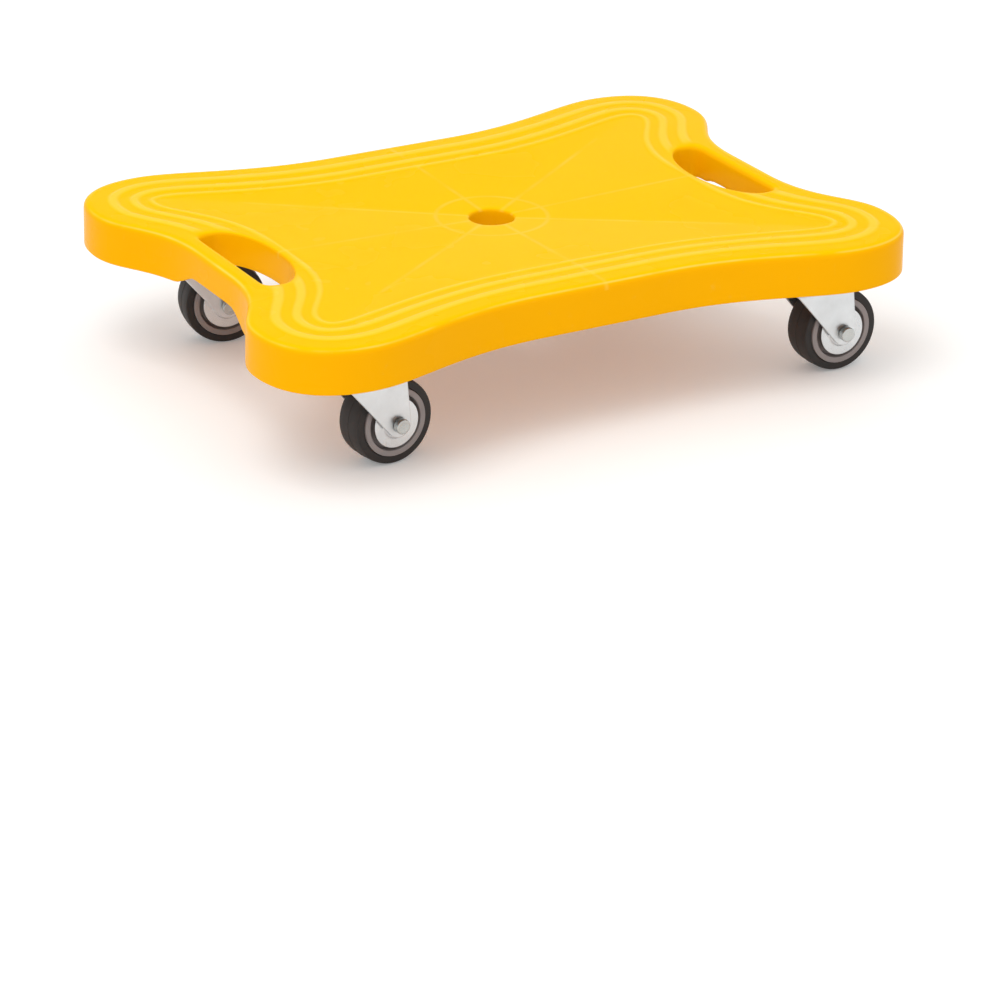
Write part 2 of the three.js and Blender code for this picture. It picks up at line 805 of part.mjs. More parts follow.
function axleRivet() {
  const shank = axleDiameter / 2;
  const head = axleHeadDiameter / 2;
  const seat = forkGap / 2 + forkSheet + seatGap;
  const end = seat + axleHeadHeight;
  return onAxle(turned([
    [0, -end],
    [head - axleHeadChamfer, -end],
    [head, axleHeadChamfer - end],
    [head, -seat],
    [shank, -seat],
    [shank, seat],
    [head, seat],
    [head, end - axleHeadChamfer],
    [head - axleHeadChamfer, end],
    [0, end],
  ], pinSteps));
}

// The board
const board = new THREE.Group();

function addPiece(group, name, geometry, material) {
  const mesh = new THREE.Mesh(geometry, material);
  mesh.name = name;
  group.add(mesh);
}

addPiece(board, "deck", geometryOf(deck()), deckPlastic);

for (const caster of casters) {
  const fixed = new THREE.Group();
  fixed.position.set(caster.x, caster.y, 0);
  fixed.rotation.z = THREE.MathUtils.degToRad(padAngle(caster));
  addPiece(fixed, `${caster.name}_mounting_plate`, mountingPlate(), zincSteel);
  screwPlaces().forEach((place, i) => {
    addPiece(fixed, `${caster.name}_plate_screw_${i + 1}`, plateScrew(place), zincSteel);
  });
  addPiece(fixed, `${caster.name}_swivel_race`, swivelRace(), zincSteel);
  addPiece(fixed, `${caster.name}_kingpin`, kingpin(), zincSteel);
  board.add(fixed);

  const swivelling = new THREE.Group();
  swivelling.position.set(caster.x, caster.y, 0);
  swivelling.rotation.z = THREE.MathUtils.degToRad(caster.turn);
  addPiece(swivelling, `${caster.name}_fork`, fork(), zincSteel);
  addPiece(swivelling, `${caster.name}_axle_rivet`, axleRivet(), zincSteel);
  addPiece(swivelling, `${caster.name}_axle_bush`, axleBush(), zincSteel);
  addPiece(swivelling, `${caster.name}_thread_guard_front`, threadGuard(1), zincSteel);
  addPiece(swivelling, `${caster.name}_thread_guard_back`, threadGuard(-1), zincSteel);
  addPiece(swivelling, `${caster.name}_wheel_hub`, wheelHub(), hubPlastic);
  addPiece(swivelling, `${caster.name}_tyre`, tyre(), tyreRubber);
  board.add(swivelling);
}

export default board;
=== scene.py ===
import json
import math
import bmesh
import bpy
import numpy as np
from mathutils import Matrix


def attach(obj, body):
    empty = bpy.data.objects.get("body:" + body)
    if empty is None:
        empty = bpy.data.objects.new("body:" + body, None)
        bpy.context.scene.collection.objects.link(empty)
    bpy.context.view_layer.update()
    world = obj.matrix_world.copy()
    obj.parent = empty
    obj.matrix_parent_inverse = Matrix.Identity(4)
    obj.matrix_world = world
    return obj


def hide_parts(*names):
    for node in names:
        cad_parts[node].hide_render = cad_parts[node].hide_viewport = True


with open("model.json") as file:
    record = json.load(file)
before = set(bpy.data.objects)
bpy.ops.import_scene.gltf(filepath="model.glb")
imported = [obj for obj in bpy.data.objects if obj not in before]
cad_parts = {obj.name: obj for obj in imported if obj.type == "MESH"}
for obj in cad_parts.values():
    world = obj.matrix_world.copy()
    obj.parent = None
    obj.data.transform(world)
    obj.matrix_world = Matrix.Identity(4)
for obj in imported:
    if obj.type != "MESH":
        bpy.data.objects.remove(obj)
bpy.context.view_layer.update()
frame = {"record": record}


# The photograph's view: a long lens a good two metres away, above the front left of the
# board, turned by yaw, elevation and roll in radians.
view_yaw, view_elevation, view_roll = -0.526758, 0.423232, 0.014540
view_place = (-1.0831, -1.8766, 0.8838)
camera_data = bpy.data.cameras.new("photo_camera")
camera_data.sensor_width, camera_data.lens = 36.0, 143.68
camera_data.clip_start, camera_data.clip_end = 0.1, 50.0
level_right = np.array([math.cos(view_yaw), math.sin(view_yaw), 0.0])
look = np.array([-math.sin(view_yaw) * math.cos(view_elevation),
                 math.cos(view_yaw) * math.cos(view_elevation), -math.sin(view_elevation)])
level_up = np.cross(level_right, look)
view_right = math.cos(view_roll) * level_right + math.sin(view_roll) * level_up
view_up = -math.sin(view_roll) * level_right + math.cos(view_roll) * level_up


def stand(data, right, up, back, place):
    """Object of a camera or lamp at place, its X, Y and Z axes along right, up and back."""
    stood = bpy.data.objects.new(data.name, data)
    stood.matrix_world = Matrix([[*row, where] for row, where in
                                 zip(np.column_stack([right, up, back]), place)] + [[0, 0, 0, 1]])
    bpy.context.scene.collection.objects.link(stood)
    return stood


bpy.context.scene.camera = stand(camera_data, view_right, view_up, -look, view_place)


# Deck moulding: one injection-moulded shell of yellow polyethylene, a dished top with three
# raised bands, a deep skirt, two hand slots with wells and a rope hole with its tube.
mm = 0.001
deck_length, deck_width = 410 * mm, 302 * mm
handle_span, waist_span = 359.6 * mm, 256.6 * mm
lobe_x, lobe_y = 156 * mm, 103 * mm
long_flat, long_swing, long_return = 40 * mm, 57 * mm, 28 * mm
handle_flat, handle_swing, handle_return = 20 * mm, 50 * mm, 30 * mm
lobe_round_x, lobe_round_y = 34 * mm, 27 * mm
quarter_ends = np.array([0.0, 0.058, 0.314, 0.539, 0.885, 1.0])
quarter_run, inset_slope = 347 * mm, 1.15
skirt_foot, deck_top = 64.5 * mm, 90.3 * mm
skirt_wall, skirt_draft, top_wall = 3.2 * mm, 0.3 * mm, 3.4 * mm
ceiling = deck_top - top_wall
rim_radius, foot_radius, root_radius, root_clear = 4 * mm, 0.6 * mm, 2 * mm, 0.4 * mm
dish_depth, crease_width = 3.6 * mm, 1.2 * mm
bands = ((17 * mm, 7 * mm), (29 * mm, 6.5 * mm), (39 * mm, 4.5 * mm))
band_height, band_flank = 0.55 * mm, 2.0 * mm
# Painted top light: shares of an upward normal where it starts and where it is full, and the share of it
# painted on the slot and hole walls
top_light_start, top_light_full, wall_painted_light = 0.35, 0.95, 0.4
slot_side_bulge = 6 * mm
slot_outer, slot_inner, slot_half = 167.3 * mm, 138 * mm, 44.5 * mm
slot_end, slot_corner, slot_bow_x, slot_bow_y = 9.8 * mm, 8 * mm, 8 * mm, 30 * mm
slot_ends = np.array([0.0, 0.4, 0.56, 1.0])
slot_middle_inset, even_share = 24.5 * mm, 0.2
lip_outer, lip_inner, band_stop = 3.4 * mm, 1.5 * mm, 6 * mm
well_wall, well_rise, arch_meeting = 2.8 * mm, 5.8 * mm, 0.8 * mm
arch_rise, arch_top, arch_foot, arch_fillet = 8.3 * mm, 26 * mm, 42 * mm, 0.18
hole_radius, hole_lip, tube_wall, tube_depth = 13 * mm, 1.8 * mm, 2.8 * mm, 17 * mm
grid_start, grid_end = 5.2 * mm, 43 * mm
around, slot_columns, top_rows, rim_rows, rim_highlight_row = 480, 25, 49, 7, 4
skirt_steps, field_steps, ceiling_steps, inner_steps = 9, 23, 13, 6
fan_steps, under_steps, back_steps, newton_steps, dense_steps = 17, 6, 5, 20, 4001
bend_steps, tube_steps, well_steps = 5, (5, 6, 7), (7, 8, 6)


def bezier(p0, p1, p2, p3, t):
    """Cubic Bezier value: the four controls weighted by (1-t)^3, 3t(1-t)^2, 3t^2(1-t), t^3."""
    k = 1 - t
    return k**3 * p0 + 3 * t * k * k * p1 + 3 * t * t * k * p2 + t**3 * p3


def stretch_of(s, ends):
    """Number of the stretch that s lies in, between two of the ends, and its share along it."""
    stretch = np.clip(np.searchsorted(ends, s, side="right") - 1, 0, len(ends) - 2)
    return stretch, (s - ends[stretch]) / (ends[stretch + 1] - ends[stretch])


def deck_line(u, inset):
    """Plan point of the deck's edge drawn in by inset, with u from 0 to 1 once round.

    A quarter runs straight up the handle side, swings out to the lobe, rounds it, swings back
    to the waist and ends straight; the other quarters are its mirror images. The lobe shrinks
    about its own middle, so the drawn-in lines stay parallel to the edge.
    """
    u, inset = np.broadcast_arrays(np.asarray(u, float), np.asarray(inset, float))
    quarter = np.floor(u * 4).astype(int)
    s = u * 4 - quarter
    quarter = quarter % 4
    stretch, t = stretch_of(np.where(quarter % 2, 1 - s, s), quarter_ends)
    lobe_share = 1 - inset / (deck_length / 2 - lobe_x)
    return_share = (1 + lobe_share) / 2
    end_x, end_y = deck_length / 2 - inset, deck_width / 2 - inset
    waist_x = handle_span / 2 - inset - slot_side_bulge * inset / bands[2][0]
    waist_y = waist_span / 2 - inset
    x = np.choose(stretch, [
        waist_x + 0 * t,
        bezier(waist_x, waist_x, end_x, end_x, t),
        bezier(end_x, end_x, lobe_x + lobe_round_x * lobe_share, lobe_x, t),
        bezier(lobe_x, lobe_x - long_return * return_share, long_flat + long_swing, long_flat, t),
        long_flat * (1 - t)])
    y = np.choose(stretch, [
        handle_flat * t,
        bezier(handle_flat, handle_flat + handle_swing, lobe_y - handle_return * return_share, lobe_y, t),
        bezier(lobe_y, lobe_y + lobe_round_y * lobe_share, end_y, end_y, t),
        bezier(end_y, end_y, waist_y, waist_y, t),
        waist_y + 0 * t])
    return x * np.choose(quarter, [1, -1, -1, 1]), y * np.choose(quarter, [1, 1, -1, -1])


def softer(value, softness):
    """The value where it is positive and nought where it is not, with a rounded change."""
    return (value + np.sqrt(value * value + softness * softness)) / 2


def eased(t):
    """Smooth step: t kept between 0 and 1, squared, times 3 - 2t."""
    t = np.clip(t, 0, 1)
    return t * t * (3 - 2 * t)


lobe_middle = (quarter_ends[2] + quarter_ends[3]) / 8
(dish_x, _), (_, dish_y), (dish_lobe_x, dish_lobe_y) = (
    [float(v) for v in deck_line(place, bands[0][0])] for place in (0.0, 0.25, lobe_middle))


def dish_drop(x, y):
    """Depth of the dish: eight flat facets from the outer band down to the middle.

    In a quarter the height share is the larger of two planes, one through the handle-side
    corner and the lobe corner, one through the waist corner and the lobe corner.
    """
    ax = np.sqrt(x * x + crease_width * crease_width)
    ay = np.sqrt(y * y + crease_width * crease_width)
    side = ay / dish_lobe_y + (ax - ay * dish_lobe_x / dish_lobe_y) / dish_x
    long = ax / dish_lobe_x + (ay - ax * dish_lobe_y / dish_lobe_x) / dish_y
    share = long + softer(side - long, crease_width / dish_y)
    return dish_depth * softer(1 - share, crease_width / dish_y)


def band_share(inset):
    """One on the flat of a raised band and nought beside it, with smooth flanks between."""
    return sum(eased((width / 2 - np.abs(inset - middle)) / band_flank) for middle, width in bands)


def top_height(x, y, share):
    """Height of the top skin: the border, less the dish, plus its share of a band's height."""
    return deck_top - dish_drop(x, y) + band_height * share


def slot_line(s, grow):
    """Plan point of the right hand slot's edge, moved out by grow, with s from 0 to 1 round it.

    From the middle of the straight side beside the handle bar, round a corner to the slot's
    end and along the bowed inner side; the second half mirrors the first.
    """
    mirrored = s > 0.5
    stretch, t = stretch_of(np.where(mirrored, 2 - 2 * s, 2 * s), slot_ends)
    outer, inner, half = slot_outer + grow, slot_inner - grow, slot_half + grow
    end_x = slot_outer - slot_end
    x = np.choose(stretch, [
        outer + 0 * t,
        bezier(outer, outer, end_x + slot_corner, end_x, t),
        bezier(end_x, end_x - slot_bow_x, inner, inner, t)])
    y = np.choose(stretch, [
        (half - slot_end) * t,
        bezier(half - slot_end, half - slot_end + slot_corner, half, half, t),
        bezier(half, half, slot_bow_y, 0, t)])
    return x, np.where(mirrored, -y, y)


def deck_coordinates(x, y):
    """Inverse of deck_line beside the right handle, by Newton steps on a measured slope, from a
    first guess with the quarter's usual run for u and the usual slope for the inset."""
    u, inset = y / (4 * quarter_run), (handle_span / 2 - x) / inset_slope
    step = 1e-6
    for _ in range(newton_steps):
        px, py = deck_line(u, inset)
        ux, uy = deck_line(u + step, inset)
        dx, dy = deck_line(u, inset + step)
        a, b, c, d = (ux - px) / step, (dx - px) / step, (uy - py) / step, (dy - py) / step
        det = a * d - b * c
        u = u + ((x - px) * d - (y - py) * b) / det
        inset = inset + ((y - py) * a - (x - px) * c) / det
    return u, inset


def arch_height(x, y):
    """Rise of the finger arch above the skirt's foot: flat in the middle, sloping down to
    nothing either way, with rounded bends, and only outside the middle of the hand slots."""
    t = (arch_foot - np.abs(y)) / (arch_foot - arch_top)
    ramp = softer(t, arch_fillet) - softer(t - 1, arch_fillet)
    return arch_rise * np.where(np.abs(x) > slot_outer - slot_end, ramp, 0)


# Rows of the closed section, from the skirt's outer foot over the top, down the rope hole and
# back under the deck to the skirt's inner foot
u = np.arange(around) / around
bend = np.linspace(0, np.pi / 2, bend_steps)
rows = []


def add_row(x, y, z, band=0, light=0, rub=0):
    """One more row: its points, and the three marks that its points carry for the material."""
    rows.append(np.array([value + 0 * x for value in (x, y, z, band, light, rub)]))


def skirt_row(inset, rise, share=0, top=0):
    """Row of the skirt at a rise above its foot, moved up from there by its share of the way
    to a top height."""
    x, y = deck_line(u, inset)
    start = skirt_foot + arch_height(x, y) + rise
    add_row(x, y, start + share * (top - start))


def opening_rows(plan, lip, brow, foot, wall, steps):
    """Rows of the wall round an opening, whose line moved out by grow is plan(grow).

    A quarter round of radius lip leads down from the brow, the wall goes straight down to a
    half round foot, its back straight up, and a quarter round leads out under the ceiling.
    """
    lip_steps, wall_steps, foot_steps = steps
    # The lip and the wall are marked for painted light, which paints them paler than the skirt.
    for angle in np.linspace(np.pi / 2, 0, lip_steps)[1:]:
        add_row(*plan(lip * (1 - np.cos(angle))), brow - lip * (1 - np.sin(angle)), light=wall_painted_light)
    for t in np.linspace(0, 1, wall_steps)[1:]:
        add_row(*plan(0), (brow - lip) * (1 - t) + (foot + foot_radius) * t, light=wall_painted_light)
    for angle in np.linspace(0, np.pi, foot_steps)[1:-1]:
        add_row(*plan(wall * (1 - np.cos(angle)) / 2), foot + foot_radius * (1 - np.sin(angle)))
    root = ceiling - dish_drop(*plan(wall)) - root_radius
    for t in np.linspace(0, 1, back_steps):
        add_row(*plan(wall), (foot + foot_radius) * (1 - t) + root * t)
    for angle in bend[1:]:
        add_row(*plan(wall + root_radius * (1 - np.cos(angle))), root + root_radius * np.sin(angle))


for angle in bend[:0:-1]:
    skirt_row(foot_radius * (1 - np.cos(angle)), foot_radius * (1 - np.sin(angle)))
for t in np.linspace(0, 1, skirt_steps)[:-1]:
    skirt_row(skirt_draft * t, foot_radius, t, deck_top - rim_radius)
# One row of the rim carries the mark for a painted highlight, a thin pale line along the rim.
for i, angle in enumerate(np.linspace(0, np.pi / 2, rim_rows + 1)[:-1]):
    x, y = deck_line(u, skirt_draft + rim_radius * (1 - np.cos(angle)))
    add_row(x, y, deck_top - rim_radius * (1 - np.sin(angle)), rub=float(i == rim_highlight_row))
outer_slot_row, outer_insets = len(rows), np.linspace(grid_start, grid_end, top_rows)
for inset in outer_insets:
    x, y = deck_line(u, inset)
    add_row(x, y, top_height(x, y, band_share(inset)), band=band_share(inset))
field = rows[-1][:2]
turn = np.arctan2(field[1], field[0])
outward = np.array([np.cos(turn), np.sin(turn)])
for t in np.linspace(0, 1, field_steps)[1:]:
    x, y = field + ((hole_radius + hole_lip) * outward - field) * t
    add_row(x, y, deck_top - dish_drop(x, y))
opening_rows(lambda grow: (hole_radius + grow) * outward, hole_lip, rows[-1][2],
             deck_top - tube_depth, tube_wall, tube_steps)
near = rows[-1][:2]
for t in np.linspace(0, 1, ceiling_steps)[1:-1]:
    x, y = near + (field - near) * t
    add_row(x, y, ceiling - dish_drop(x, y))
inner_slot_row = len(rows)
inner_insets = np.linspace(grid_end, skirt_wall + skirt_draft + root_radius + root_clear, top_rows)
for inset in inner_insets:
    x, y = deck_line(u, inset)
    add_row(x, y, ceiling - dish_drop(x, y))
for angle in bend[::-1]:
    x, y = deck_line(u, skirt_wall + skirt_draft + root_radius * (1 - np.cos(angle)))
    add_row(x, y, ceiling - root_radius * (1 - np.sin(angle)))
for t in np.linspace(1, 0, inner_steps)[1:]:
    skirt_row(skirt_wall + skirt_draft * t, foot_radius, t, ceiling - root_radius)
for angle in bend[1:-1]:
    skirt_row(skirt_wall - foot_radius * (1 - np.cos(angle)), foot_radius * (1 - np.sin(angle)))

row_count = len(rows)
number = np.arange(row_count * around).reshape(row_count, around)
kept = np.ones((row_count, around), bool)
points, slot_faces = [np.array(rows).transpose(0, 2, 1).reshape(-1, 6)], []


def ring_faces(rings):
    """Quads between each ring of numbers and the next, with every ring closed on itself."""
    rings = np.asarray(rings)
    ahead = np.roll(rings, -1, axis=1)
    return np.stack([rings[:-1], ahead[:-1], ahead[1:], rings[1:]], axis=-1).reshape(-1, 4)


def slot_rings(side, first_row, insets):
    """Numbers and (u, inset) pairs of the grid points round the opening left for a slot."""
    middle = 0 if side > 0 else around // 2
    n, m = slot_columns, top_rows - 1
    columns = np.concatenate([np.arange(-n, n), np.full(m, n), np.arange(n, -n, -1), np.full(m, -n)])
    steps = np.concatenate([np.full(2 * n, 0), np.arange(m), np.full(2 * n, m), np.arange(m, 0, -1)])
    if insets[0] > insets[-1]:
        steps = m - steps
    kept[first_row:first_row + m, (middle + np.arange(-n, n)) % around] = False
    numbers = number[first_row + steps, (middle + side * columns) % around]
    return numbers, columns / around, insets[steps]


def slot_direction(some_u, some_inset):
    """Angle of a place seen from the slot's middle, with the grid's opening drawn as a square."""
    half_u, half_inset = slot_columns / around, (grid_end - grid_start) / 2
    return np.arctan2((some_inset - slot_middle_inset) / half_inset, some_u / half_u)


def slot_share(ring_u, ring_inset, grow):
    """The place round the slot that lies in the same direction, in (u, inset), as each point
    of the grid's opening, moved a little toward even steps, so that the lines fan out evenly."""
    dense = np.linspace(0, 1, dense_steps)
    x, y = slot_line(dense, grow)
    there = np.unwrap(slot_direction(*deck_coordinates(x, y)))
    here = slot_direction(ring_u, ring_inset)
    here = there[0] + (here - there[0]) % (2 * np.pi)
    facing = np.interp(here, there, dense)
    run = np.concatenate([[0], np.cumsum(np.hypot(np.diff(x), np.diff(y)))])
    start = np.interp(facing[0], dense, run)
    even = start + np.arange(len(facing)) / len(facing) * run[-1]
    travelled = np.unwrap(np.interp(facing, dense, run) / run[-1] * 2 * np.pi) / (2 * np.pi) * run[-1]
    blended = (1 - even_share) * travelled + even_share * even
    return np.interp(blended % run[-1], run, dense)


# Rings of each hand slot, from the top's grid over the lip, down and up the well's wall and out
# to the grid under the deck. Both slots are worked out as the right one, and the left mirrored.
for side in (1, -1):
    outer_numbers, ring_u, ring_inset = slot_rings(side, outer_slot_row, outer_insets)
    share = slot_share(ring_u, ring_inset, lip_inner)
    toward_bar = (slot_line(share, 0)[0] - slot_inner) / (slot_outer - slot_inner)
    lip = lip_inner + (lip_outer - lip_inner) * toward_bar**2
    slot_x, slot_y = slot_line(share, lip)
    slot_u, slot_inset = deck_coordinates(slot_x, slot_y)
    rows = []
    for t in np.linspace(0, 1, fan_steps)[1:]:
        inset = ring_inset + (slot_inset - ring_inset) * t
        x, y = deck_line(ring_u + (slot_u - ring_u) * t, inset)
        band = band_share(inset) * eased(np.hypot(x - slot_x, y - slot_y) / band_stop)
        add_row(x, y, top_height(x, y, band), band)
    rise = arch_height(*slot_line(share, 0)) - well_rise
    opening_rows(lambda grow: slot_line(share, grow), lip, top_height(slot_x, slot_y, 0),
                 skirt_foot + well_rise + softer(rise, arch_meeting), well_wall, well_steps)
    inner_numbers, ring_u, ring_inset = slot_rings(side, inner_slot_row, inner_insets)
    slot_u, slot_inset = deck_coordinates(*slot_line(share, well_wall + root_radius))
    for t in np.linspace(0, 1, under_steps)[1:-1]:
        x, y = deck_line(slot_u + (ring_u - slot_u) * t, slot_inset + (ring_inset - slot_inset) * t)
        add_row(x, y, ceiling - dish_drop(x, y))
    numbers = sum(map(len, points)) + np.arange(len(rows) * len(share)).reshape(len(rows), -1)
    points.append(np.array(rows).transpose(0, 2, 1).reshape(-1, 6) * [side, 1, 1, 1, 1, 1])
    slot_faces.append(ring_faces(np.vstack([outer_numbers, numbers, inner_numbers]))[:, ::side])


def mesh_object(name, vertices, quads, caps=()):
    """Object of one closed mesh from an array of points, an array of quads and a few flat caps.

    Six times the volume inside is the sum of a . (b x c) + a . (c x d) over the quads, but for
    the caps' small share. Where it is negative every face is turned round to point out. Points
    that no face uses are left out, and the numbers of the others are given with the object.
    """
    corners = np.concatenate([quads.ravel(), *caps]).astype(int)
    sizes = np.concatenate([np.full(len(quads), 4), [len(cap) for cap in caps]]).astype(int)
    a, b, c, d = (vertices[quads[:, i]] for i in range(4))
    volume = np.einsum("ij,ij->", a, np.cross(b, c)) + np.einsum("ij,ij->", a, np.cross(c, d))
    used, packed = np.unique(corners, return_inverse=True)
    packed = packed.reshape(-1)
    starts = np.concatenate([[0], np.cumsum(sizes)[:-1]])
    mesh = bpy.data.meshes.new(name)
    mesh.vertices.add(len(used))
    mesh.vertices.foreach_set("co", np.ascontiguousarray(vertices[used], np.float32).ravel())
    mesh.loops.add(len(packed))
    mesh.loops.foreach_set("vertex_index", packed.astype(np.int32))
    mesh.polygons.add(len(sizes))
    mesh.polygons.foreach_set("loop_start", starts.astype(np.int32))
    mesh.polygons.foreach_set("use_smooth", np.ones(len(sizes), bool))
    mesh.update(calc_edges=True)
    if volume < 0:
        mesh.flip_normals()
    mesh.validate()
    made = bpy.data.objects.new(name, mesh)
    bpy.context.scene.collection.objects.link(made)
    return made, used


points = np.concatenate(points)
grid_faces = ring_faces(np.vstack([number, number[:1]])).reshape(row_count, around, 4)[kept]
deck, used = mesh_object("deck_moulding", points[:, :3], np.concatenate([grid_faces, *slot_faces]))
band, light, rub = points[used, 3:].T
normals = np.empty(len(used) * 3, np.float32)
deck.data.vertices.foreach_get("normal", normals)
# Painted light and shade: one on faces that look up, nought on faces turned to the side or down, and at
# least the walls' painted light on the slot and hole walls
painted_top_light = np.maximum(eased((normals[2::3] - top_light_start) / (top_light_full - top_light_start)), light)
for mark_name, values in (("raised_band", band), ("upper_skin", painted_top_light), ("rubbed_edge", rub)):
    mark = deck.data.attributes.new(mark_name, "FLOAT", "POINT")
    mark.data.foreach_set("value", np.ascontiguousarray(values, np.float32))


def linear(code):
    """Linear colour of an sRGB hex code: c / 12.92 where dark, else ((c + 0.055) / 1.055)^2.4."""
    channels = [int(code[i:i + 2], 16) / 255 for i in (1, 3, 5)]
    return [c / 12.92 if c <= 0.04045 else ((c + 0.055) / 1.055) ** 2.4 for c in channels] + [1.0]


def add_node(tree, kind, values=(), links=(), **settings):
    """A shader node with its settings, the values of its inputs, and links to its inputs from
    outputs, or from nodes, which then give their first output."""
    made = tree.nodes.new("ShaderNode" + kind)
    for name, value in settings.items():
        setattr(made, name, value)
    for socket, value in dict(values).items():
        made.inputs[socket].default_value = value
    for socket, source in dict(links).items():
        tree.links.new(getattr(source, "outputs", [source])[0], made.inputs[socket])
    return made


def new_material(name):
    """An empty node material, its node tree and its Object coordinates."""
    material = bpy.data.materials.new(name)
    material.use_nodes = True
    material.node_tree.nodes.clear()
    return material, material.node_tree, add_node(material.node_tree, "TexCoord").outputs["Object"]


# Places of a colour Mix node's sockets: its share, its two colours and its result
share_in, first_in, second_in, mixed_out = 0, 6, 7, 2

# Injection-moulded polyethylene: even yellow with a soft gloss, a fine orange peel left by the
# mould, and short pale rub marks from handling. Light and shade are painted into its colour:
# faces that look up, and the thin walls of the hand slots and the rope hole, which pass some light,
# are a paler yellow as painted light, and faces turned to the side a deeper orange as painted shade.
# The bands carry a painted sheen, and the thin lines over the ribs and one line along the rim a
# painted highlight.
deck_plastic, tree, place = new_material("moulded_yellow_polyethylene")
peel_grain, peel_strength, peel_height = 1.6 * mm, 0.12, 0.05 * mm
cloud_size, cloud_strength, patch_size = 60 * mm, 0.35, 26 * mm
rub_size, rub_turn, rub_stretch, rub_strength = 9 * mm, 0.6, 7, 0.08
line_half, line_fade, line_strength, edge_strength = 0.4 * mm, 1.5 * mm, 0.38, 0.55
ring_line, line_reach, line_stop, line_floor = 32.5 * mm, 138 * mm, 150 * mm, 85.5 * mm
patch_range, rub_range, cloud_range = (0.3, 0.62), (0.62, 0.74), (0.35, 0.75)
least_rough, most_rough, wall_sheen, top_sheen = 0.22, 0.32, 0.03, 0.012

# Painted highlight: thin pale lines over the ribs, where their sink marks catch the light
# The way to the nearest rib's middle line: to the ring, or across one of the four lines
height = add_node(tree, "SeparateXYZ", links={0: place}).outputs["Z"]
plan = add_node(tree, "VectorMath", {1: (1, 1, 0)}, {0: place}, operation="MULTIPLY")
from_middle = add_node(tree, "VectorMath", links={0: plan}, operation="LENGTH").outputs["Value"]
from_ring = add_node(tree, "Math", {1: ring_line}, {0: from_middle}, operation="SUBTRACT")
nearest = add_node(tree, "Math", links={0: from_ring}, operation="ABSOLUTE")
lobe_turn = math.atan2(dish_lobe_y, dish_lobe_x)
for turn in (0.0, math.pi / 2, lobe_turn, -lobe_turn):
    across = add_node(tree, "VectorMath", {1: (math.sin(turn), -math.cos(turn), 0)}, {0: place},
                      operation="DOT_PRODUCT")
    away = add_node(tree, "Math", links={0: across.outputs["Value"]}, operation="ABSOLUTE")
    nearest = add_node(tree, "Math", links={0: nearest, 1: away}, operation="MINIMUM")

# Noises by size, detail, roughness and coordinates, the rub marks' drawn out along one way
stretched = add_node(tree, "Mapping", {"Rotation": (0, 0, rub_turn), "Scale": (1, rub_stretch, 1)},
                     {"Vector": place})
peel, cloud, patch, rub = (
    add_node(tree, "TexNoise", {"Scale": 1 / size, "Detail": detail, "Roughness": rough}, {"Vector": where})
    for size, detail, rough, where in (
        (peel_grain, 2, 0.5, place), (cloud_size, 3, 0.5, place),
        (patch_size, 3, 0.5, place), (rub_size, 6, 0.7, stretched)))
painted_top_light, band, edge = (add_node(tree, "Attribute", attribute_name=name).outputs["Fac"]
                    for name in ("upper_skin", "raised_band", "rubbed_edge"))

# Shares by what they read, the stretch of it that they read and what they give at its ends
line, within, patchy, rub_share, cloud_share, gloss, sheen = (
    add_node(tree, "MapRange", {"From Min": low, "From Max": high, "To Min": at_low, "To Max": at_high},
             {"Value": source})
    for source, low, high, at_low, at_high in (
        (nearest, line_half + line_fade, line_half, 0, line_strength),
        (from_middle, line_stop, line_reach, 0, 1),
        (patch, *patch_range, 0, 1),
        (rub, *rub_range, 0, rub_strength),
        (cloud, *cloud_range, 0, cloud_strength),
        (cloud, 0, 1, least_rough, most_rough),
        (painted_top_light, 0, 1, wall_sheen, top_sheen)))
on_top = add_node(tree, "Math", {1: line_floor}, {0: height}, operation="GREATER_THAN")
for share in (within, on_top, patchy):
    line = add_node(tree, "Math", links={0: line, 1: share}, operation="MULTIPLY")
# The rim's painted highlight, broken up by the patches
edge = add_node(tree, "Math", {1: edge_strength}, {0: edge}, operation="MULTIPLY")
edge = add_node(tree, "Math", links={0: edge, 1: patchy}, operation="MULTIPLY")

# Painted light and shade: faces turned to the side get a deeper orange, faces that look up a paler yellow
shaded_side_tone, lit_top_tone = (add_node(tree, "Mix", {first_in: linear(plain), second_in: linear(clouded)},
                                {share_in: cloud_share}, data_type="RGBA").outputs[mixed_out]
                       for plain, clouded in (("#ffb400", "#fcb000"), ("#ffc801", "#fdc100")))
tone = add_node(tree, "Mix", links={share_in: painted_top_light, first_in: shaded_side_tone, second_in: lit_top_tone},
                data_type="RGBA").outputs[mixed_out]
# Paler yellows laid over: a painted sheen on the raised bands, painted highlights on the lines over the
# ribs and on the rim, and the rub marks, which are real wear.
for code, share in (("#ffd23c", band), ("#ffd85a", line), ("#ffe27a", edge), ("#fde08a", rub_share)):
    tone = add_node(tree, "Mix", {second_in: linear(code)}, {share_in: share, first_in: tone},
                    data_type="RGBA").outputs[mixed_out]
bump = add_node(tree, "Bump", {"Strength": peel_strength, "Distance": peel_height}, {"Height": peel})
shader = add_node(tree, "BsdfPrincipled", {"IOR": 1.5},
                  {"Base Color": tone, "Roughness": gloss, "Normal": bump, "Specular IOR Level": sheen})
add_node(tree, "OutputMaterial", links={"Surface": shader})


def dressed(piece, material, node, body):
    """A finished piece with its material, in its CAD node's stead, riding on its body."""
    piece.data.materials.append(material)
    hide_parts(node)
    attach(piece, body)
    return piece


dressed(deck, deck_plastic, "deck", "deck_assembly")


